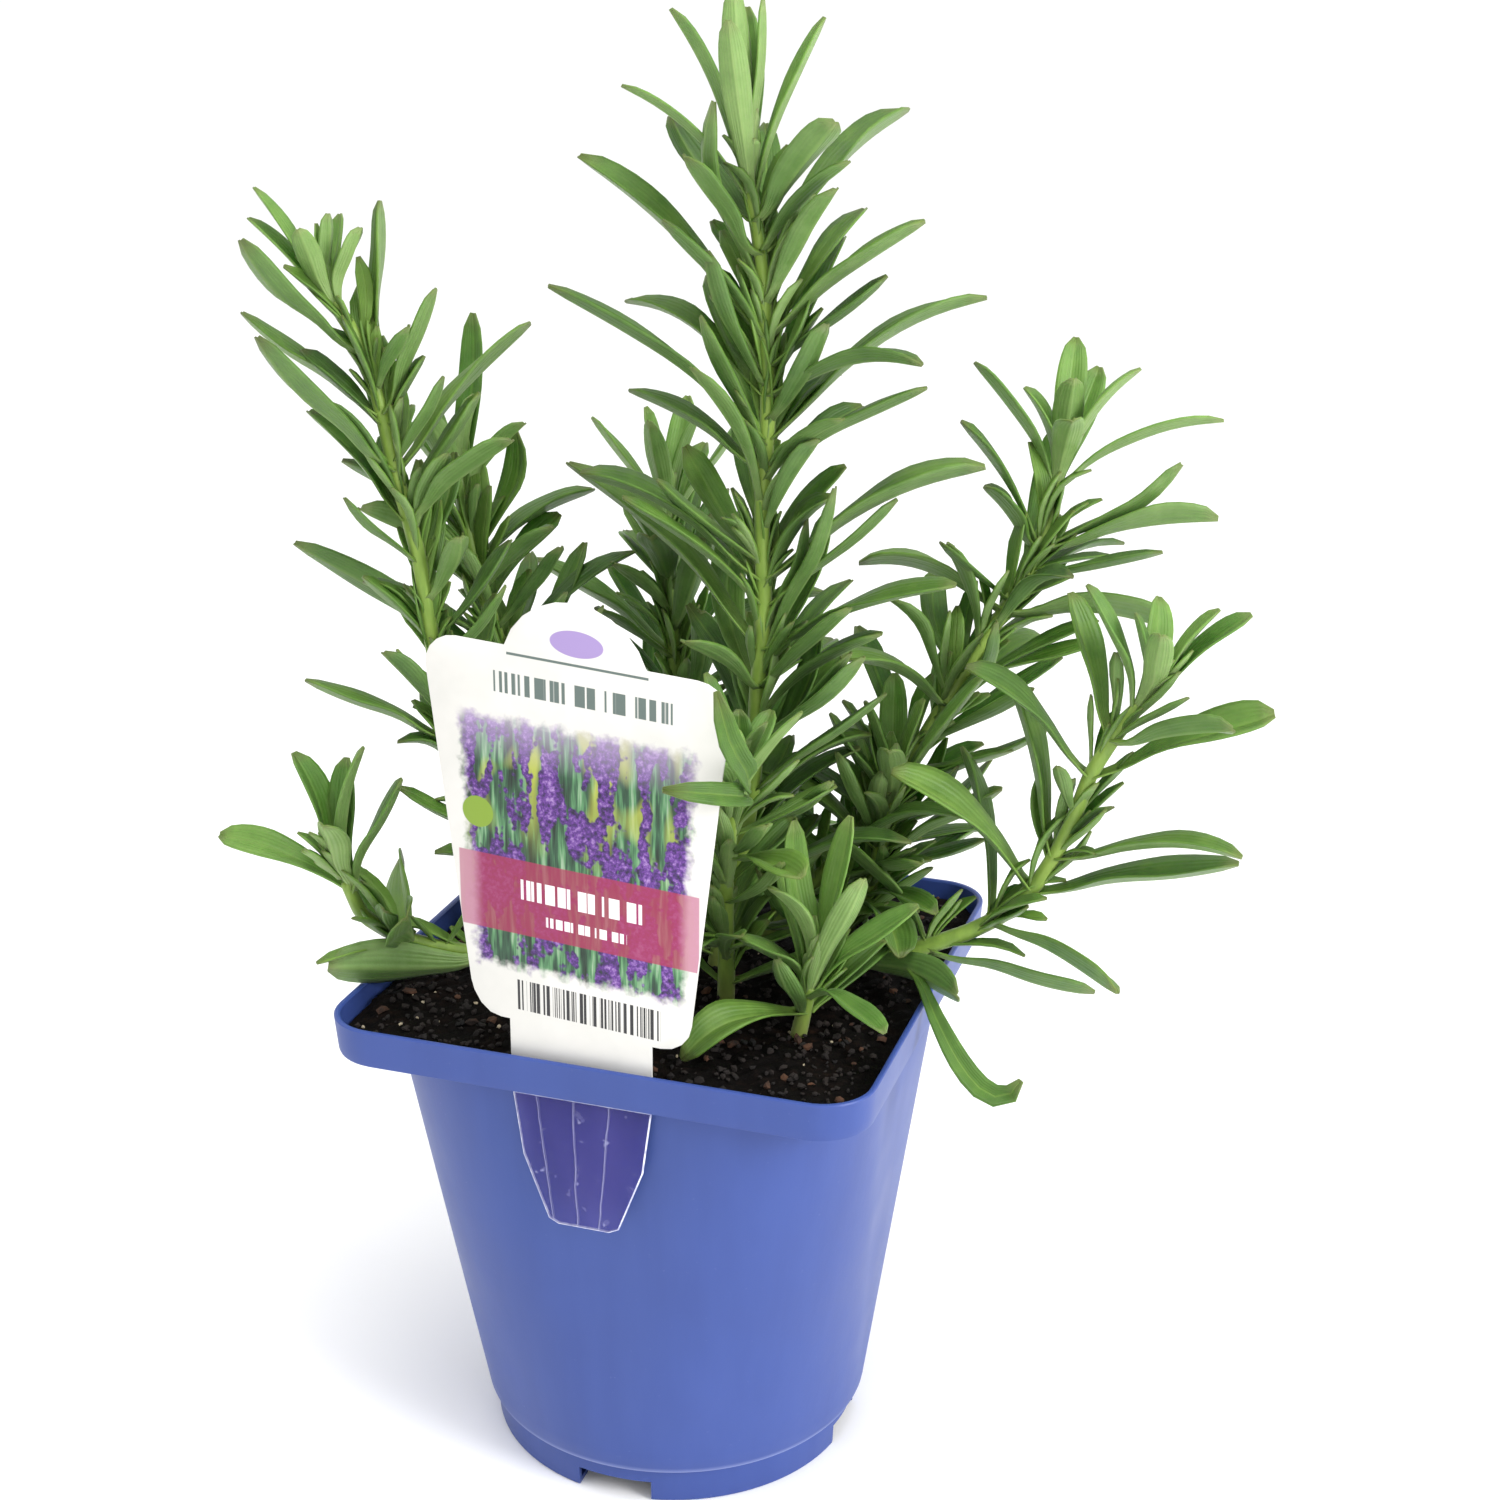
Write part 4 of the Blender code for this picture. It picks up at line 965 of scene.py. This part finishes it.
def make_soil(peat):
    body = merged_copy("potting_soil", "soil_body")
    body.data.materials.append(peat)
    smooth(body, 30)
    stand_for(body, "potting_soil", "potting_soil")
    # The broken surface: a fine sheet over the plug, pulled to the pot's inner outline
    deselect()
    bpy.ops.mesh.primitive_grid_add(x_subdivisions=CRUST_CELLS, y_subdivisions=CRUST_CELLS,
                                    size=2 * SOIL_HALF)
    crust = bpy.context.active_object
    crust.name = "soil_crust"
    flat = SOIL_HALF - CRUST_CORNER * MM
    for vert in crust.data.vertices:
        x, y = vert.co.x, vert.co.y
        ax, ay = abs(x) - flat, abs(y) - flat
        if ax > 0 and ay > 0:
            scale = max(ax, ay) / math.hypot(ax, ay)
            x = math.copysign(flat + ax * scale, x)
            y = math.copysign(flat + ay * scale, y)
        to_wall = min(SOIL_HALF - abs(x), SOIL_HALF - abs(y))
        fall = max(0.0, CRUST_EDGE * MM - to_wall) * 0.25
        vert.co = (x, y, SOIL_TOP - 0.2 * MM + float(ground_noise(x, y)) - fall)
    apply_modifier(crust, "SOLIDIFY", thickness=CRUST_THICKNESS * MM, offset=-1.0)
    crust.data.materials.append(peat)
    smooth(crust, 60)
    stand_for(crust, "potting_soil")


def crumb_pattern():
    deselect()
    bpy.ops.mesh.primitive_ico_sphere_add(subdivisions=1, radius=1.0)
    ball = bpy.context.active_object
    points = np.array([v.co[:] for v in ball.data.vertices])
    faces = np.array([list(p.vertices) for p in ball.data.polygons])
    bpy.data.objects.remove(ball)
    return points, faces


def scatter_crumbs(name, material, count, sizes, flat):
    """Loose crumbs lying on the soil, each a lopsided lump of its own."""
    ball, faces = crumb_pattern()
    half = SOIL_HALF
    all_points, all_faces = [], []
    for _ in range(count):
        x, y = draw.uniform(-half + 0.002, half - 0.002, 2)
        if math.hypot(max(abs(x) - half + 0.009, 0), max(abs(y) - half + 0.009, 0)) > 0.0075:
            continue
        size = draw.uniform(*sizes) * MM
        shape = ball * (1 + draw.normal(0, 0.22, (len(ball), 1)))
        shape = shape * np.array([1.0, draw.uniform(0.5, 0.9), flat * draw.uniform(0.7, 1.3)])
        turn = Matrix.Rotation(draw.uniform(0, 6.28), 3, "Z") @ Matrix.Rotation(
            draw.normal(0, 0.4), 3, "X")
        shape = shape @ np.array(turn).T * size
        lift = SOIL_TOP + float(ground_noise(x, y)) + size * flat * 0.45
        all_points.append(shape + np.array([x, y, lift]))
        all_faces.append(faces + len(ball) * len(all_faces))
    piece = mesh_object(name, np.concatenate(all_points), np.concatenate(all_faces), (material,))
    stand_for(piece, "potting_soil")


# ---- Label ----


def lean_board(piece):
    """The board sits a little askew on its neck, higher at the left."""
    for vert in piece.data.vertices:
        share = min(max((vert.co.z - POT_RIM) / (NECK * MM), 0.0), 1.0)
        vert.co.z += share * (LABEL_LIFT * MM - LABEL_LEAN * (vert.co.x - LABEL_CENTRE))


def make_label(print_face, plain, clear, cut_edge):
    """The CAD sheet cut in two: the printed board with its neck, and the clear tab below."""
    cut = POT_RIM - TAB_TOP * MM
    for name, material, keep_above in (
            ("label_board", print_face, True), ("label_tab", clear, False)):
        piece = merged_copy("plant_label", name)
        edit_all(piece)
        bpy.ops.mesh.bisect(plane_co=(0, 0, cut - (0 if keep_above else 0.0001)),
                            plane_no=(0, 0, 1), use_fill=True,
                            clear_inner=keep_above, clear_outer=not keep_above)
        bpy.ops.mesh.select_all(action="SELECT")
        bpy.ops.mesh.dissolve_limited(angle_limit=math.radians(1))
        deselect()
        if keep_above:
            lean_board(piece)
        apply_modifier(piece, "BEVEL", width=(0.12 if keep_above else 0.26) * MM, segments=2,
                       limit_method="ANGLE", angle_limit=math.radians(60), material=-1)
        piece.data.materials.append(material)
        piece.data.materials.append(plain if keep_above else cut_edge)
        for polygon in piece.data.polygons:
            facing = -polygon.normal.y if keep_above else abs(polygon.normal.y)
            polygon.material_index = int(facing < 0.96)
        apply_modifier(piece, "TRIANGULATE")
        smooth(piece, 40)
        stand_for(piece, "label_plastic", "plant_label")


# ---- Pot: drawn again with fine rings, round at the foot and square at the rim ----


def square_ring(half, corner, height):
    """Points in mm round a square of this half side with round corners."""
    points = []
    corner = min(corner, half)
    for k in range(RING_COUNT):
        angle = 2 * math.pi * k / RING_COUNT
        # Bunch the points towards the corners, where the outline turns fastest
        angle += 0.16 * math.sin(4 * angle) * (half - corner) / half
        c, d = abs(math.cos(angle)), abs(math.sin(angle))
        flat = half - corner
        reach = half / max(c, d)
        if reach * min(c, d) > flat:
            middle = flat * (c + d)
            reach = middle + math.sqrt(max(middle**2 - 2 * flat**2 + corner**2, 0.0))
        points.append((reach * math.cos(angle), reach * math.sin(angle), height))
    return points


def pot_rings():
    """(half, corner, height) from the outer foot up over the rim and down the inside."""
    top = POT_RIM / MM
    band = top - BAND
    rim = POT_HALF / MM
    wall = POT_WALL
    rows = [(half, half, height) for half, height in (
        (FOOT_HALF - 3.0, 0.0), (FOOT_HALF - 0.5, 0.0), (FOOT_HALF - 0.1, 0.2), (FOOT_HALF, 0.6),
        (FOOT_HALF + 0.25, FOOT_STEP - 0.3), (FOOT_HALF + 0.5, FOOT_STEP),
        (BODY_LOW_HALF - 0.3, FOOT_STEP + 0.2), (BODY_LOW_HALF, FOOT_STEP + 0.8))]
    for k in range(1, WALL_RINGS + 1):
        share = k / WALL_RINGS
        half = BODY_LOW_HALF + (BODY_TOP_HALF - BODY_LOW_HALF) * share
        corner = BODY_LOW_HALF + (BODY_TOP_CORNER - BODY_LOW_HALF) * share
        rows.append((half, corner, FOOT_STEP + 0.8 + (band - 1.5 - FOOT_STEP) * share))
    rows += [(BODY_TOP_HALF + 0.25, BODY_TOP_CORNER - 3, band - 0.45),
             (rim - 1.1, RIM_CORNER + 0.3, band - 0.2), (rim - 0.62, RIM_CORNER, band + 0.1),
             (rim - 0.5, RIM_CORNER, band + 0.6)]
    rows += [(rim - 0.5 + 0.45 * k / BAND_RINGS, RIM_CORNER,
              band + 0.6 + (BAND - 1.3) * k / BAND_RINGS) for k in range(1, BAND_RINGS + 1)]
    rows += [(rim - 0.02, RIM_CORNER, top - 0.35), (rim - 0.2, RIM_CORNER - 0.2, top - 0.08),
             (rim - 0.5, RIM_CORNER - 0.5, top), (rim - wall + 0.3, RIM_CORNER - 0.9, top - 0.06),
             (rim - wall, RIM_CORNER - 1.1, top - 0.4),
             (rim - 0.5 - wall, RIM_CORNER - wall, band + wall),
             (BODY_TOP_HALF - wall, BODY_TOP_CORNER - wall, band + wall - 0.6)]
    for k in range(1, INNER_RINGS + 1):
        share = k / INNER_RINGS
        half = BODY_TOP_HALF + (BODY_LOW_HALF - BODY_TOP_HALF) * share - wall
        corner = BODY_TOP_CORNER + (BODY_LOW_HALF - BODY_TOP_CORNER) * share - wall
        rows.append((half, corner, band + wall - 0.6 + (FOOT_STEP + 1.8 - band) * share))
    rows += [(FOOT_HALF - wall, FOOT_HALF - wall, height) for height in (FOOT_STEP, wall)]
    return rows


def finish_pot(plastic):
    rows = [square_ring(*row) for row in pot_rings()]
    points = [tuple(c * MM for c in p) for row in rows for p in row]
    faces = []
    for k in range(len(rows) - 1):
        for i in range(RING_COUNT):
            j = (i + 1) % RING_COUNT
            faces.append((k * RING_COUNT + i, k * RING_COUNT + j, (k + 1) * RING_COUNT + j,
                          (k + 1) * RING_COUNT + i))
    # The foot and the inner floor
    for start in (0, (len(rows) - 1) * RING_COUNT):
        faces.append(range(start, start + RING_COUNT))
    shell = mesh_object("pot_shell", points, faces, (plastic,))
    edit_all(shell)
    bpy.ops.mesh.normals_make_consistent(inside=False)
    deselect()
    width, tall = NOTCH_WIDTH * MM, 2 * NOTCH_HEIGHT * MM
    for name, size in (("notch_x", (0.2, width, tall)), ("notch_y", (width, 0.2, tall))):
        deselect()
        bpy.ops.mesh.primitive_cube_add(size=1.0)
        cutter = bpy.context.active_object
        cutter.name = name
        cutter.scale = size
        bpy.ops.object.transform_apply(scale=True)
        make_active(shell)
        modifier = shell.modifiers.new(name, "BOOLEAN")
        modifier.object = cutter
        modifier.solver = "EXACT"
        bpy.ops.object.modifier_apply(modifier=modifier.name)
        bpy.data.objects.remove(cutter)
    smooth(shell, 35)
    stand_for(shell, "pot_plastic", "pot")


# ---- Everything ----

place_camera()
bpy.context.scene.view_settings.view_transform = "Standard"
world = bpy.data.worlds.new("studio_air")
world.use_nodes = True
world.node_tree.nodes["Background"].inputs["Color"].default_value = (1.0, 1.0, 1.0, 1.0)
world.node_tree.nodes["Background"].inputs["Strength"].default_value = SKY_STRENGTH
bpy.context.scene.world = world
for lamp in LAMPS:
    area_light(*lamp)

deselect()
bpy.ops.mesh.primitive_plane_add(size=FLOOR_SIDE, location=(0, 0, 0))
floor = bpy.context.active_object
floor.name = "studio_floor"
floor.data.materials.append(studio_floor())

finish_pot(polypropylene_pot())
make_soil(peat_soil())
for piece_name, crumb, dark, light, count, sizes, flat in CRUMBS:
    scatter_crumbs(piece_name, bark_crumb(crumb, dark, light), count, sizes, flat)
make_label(printed_label(), plain_polystyrene(), clear_tab(), bright_cut_edge())
redraw_stems(stem_skin())
LEAVES = [leaf_surface(*finish_of) for finish_of in (
    ("leaf_upper_skin", "#274516", "#4a6c25", "#71923c", "#809d47", 0.03, -0.9),
    ("leaf_under_skin", "#40602b", "#5f7f3f", "#86a062", "#8fa765", 0.10, 0.8),
    ("young_leaf_upper", "#33541c", "#52772f", "#7a9c4a", "#88a655", 0.06, -0.7),
    ("young_leaf_under", "#486a30", "#6b8b48", "#90ab69", "#97b06c", 0.12, 0.7))]
redraw_leaves(*LEAVES)
fill_leaves(*LEAVES[:2])
lone_leaves(*LEAVES[:2])

deselect()
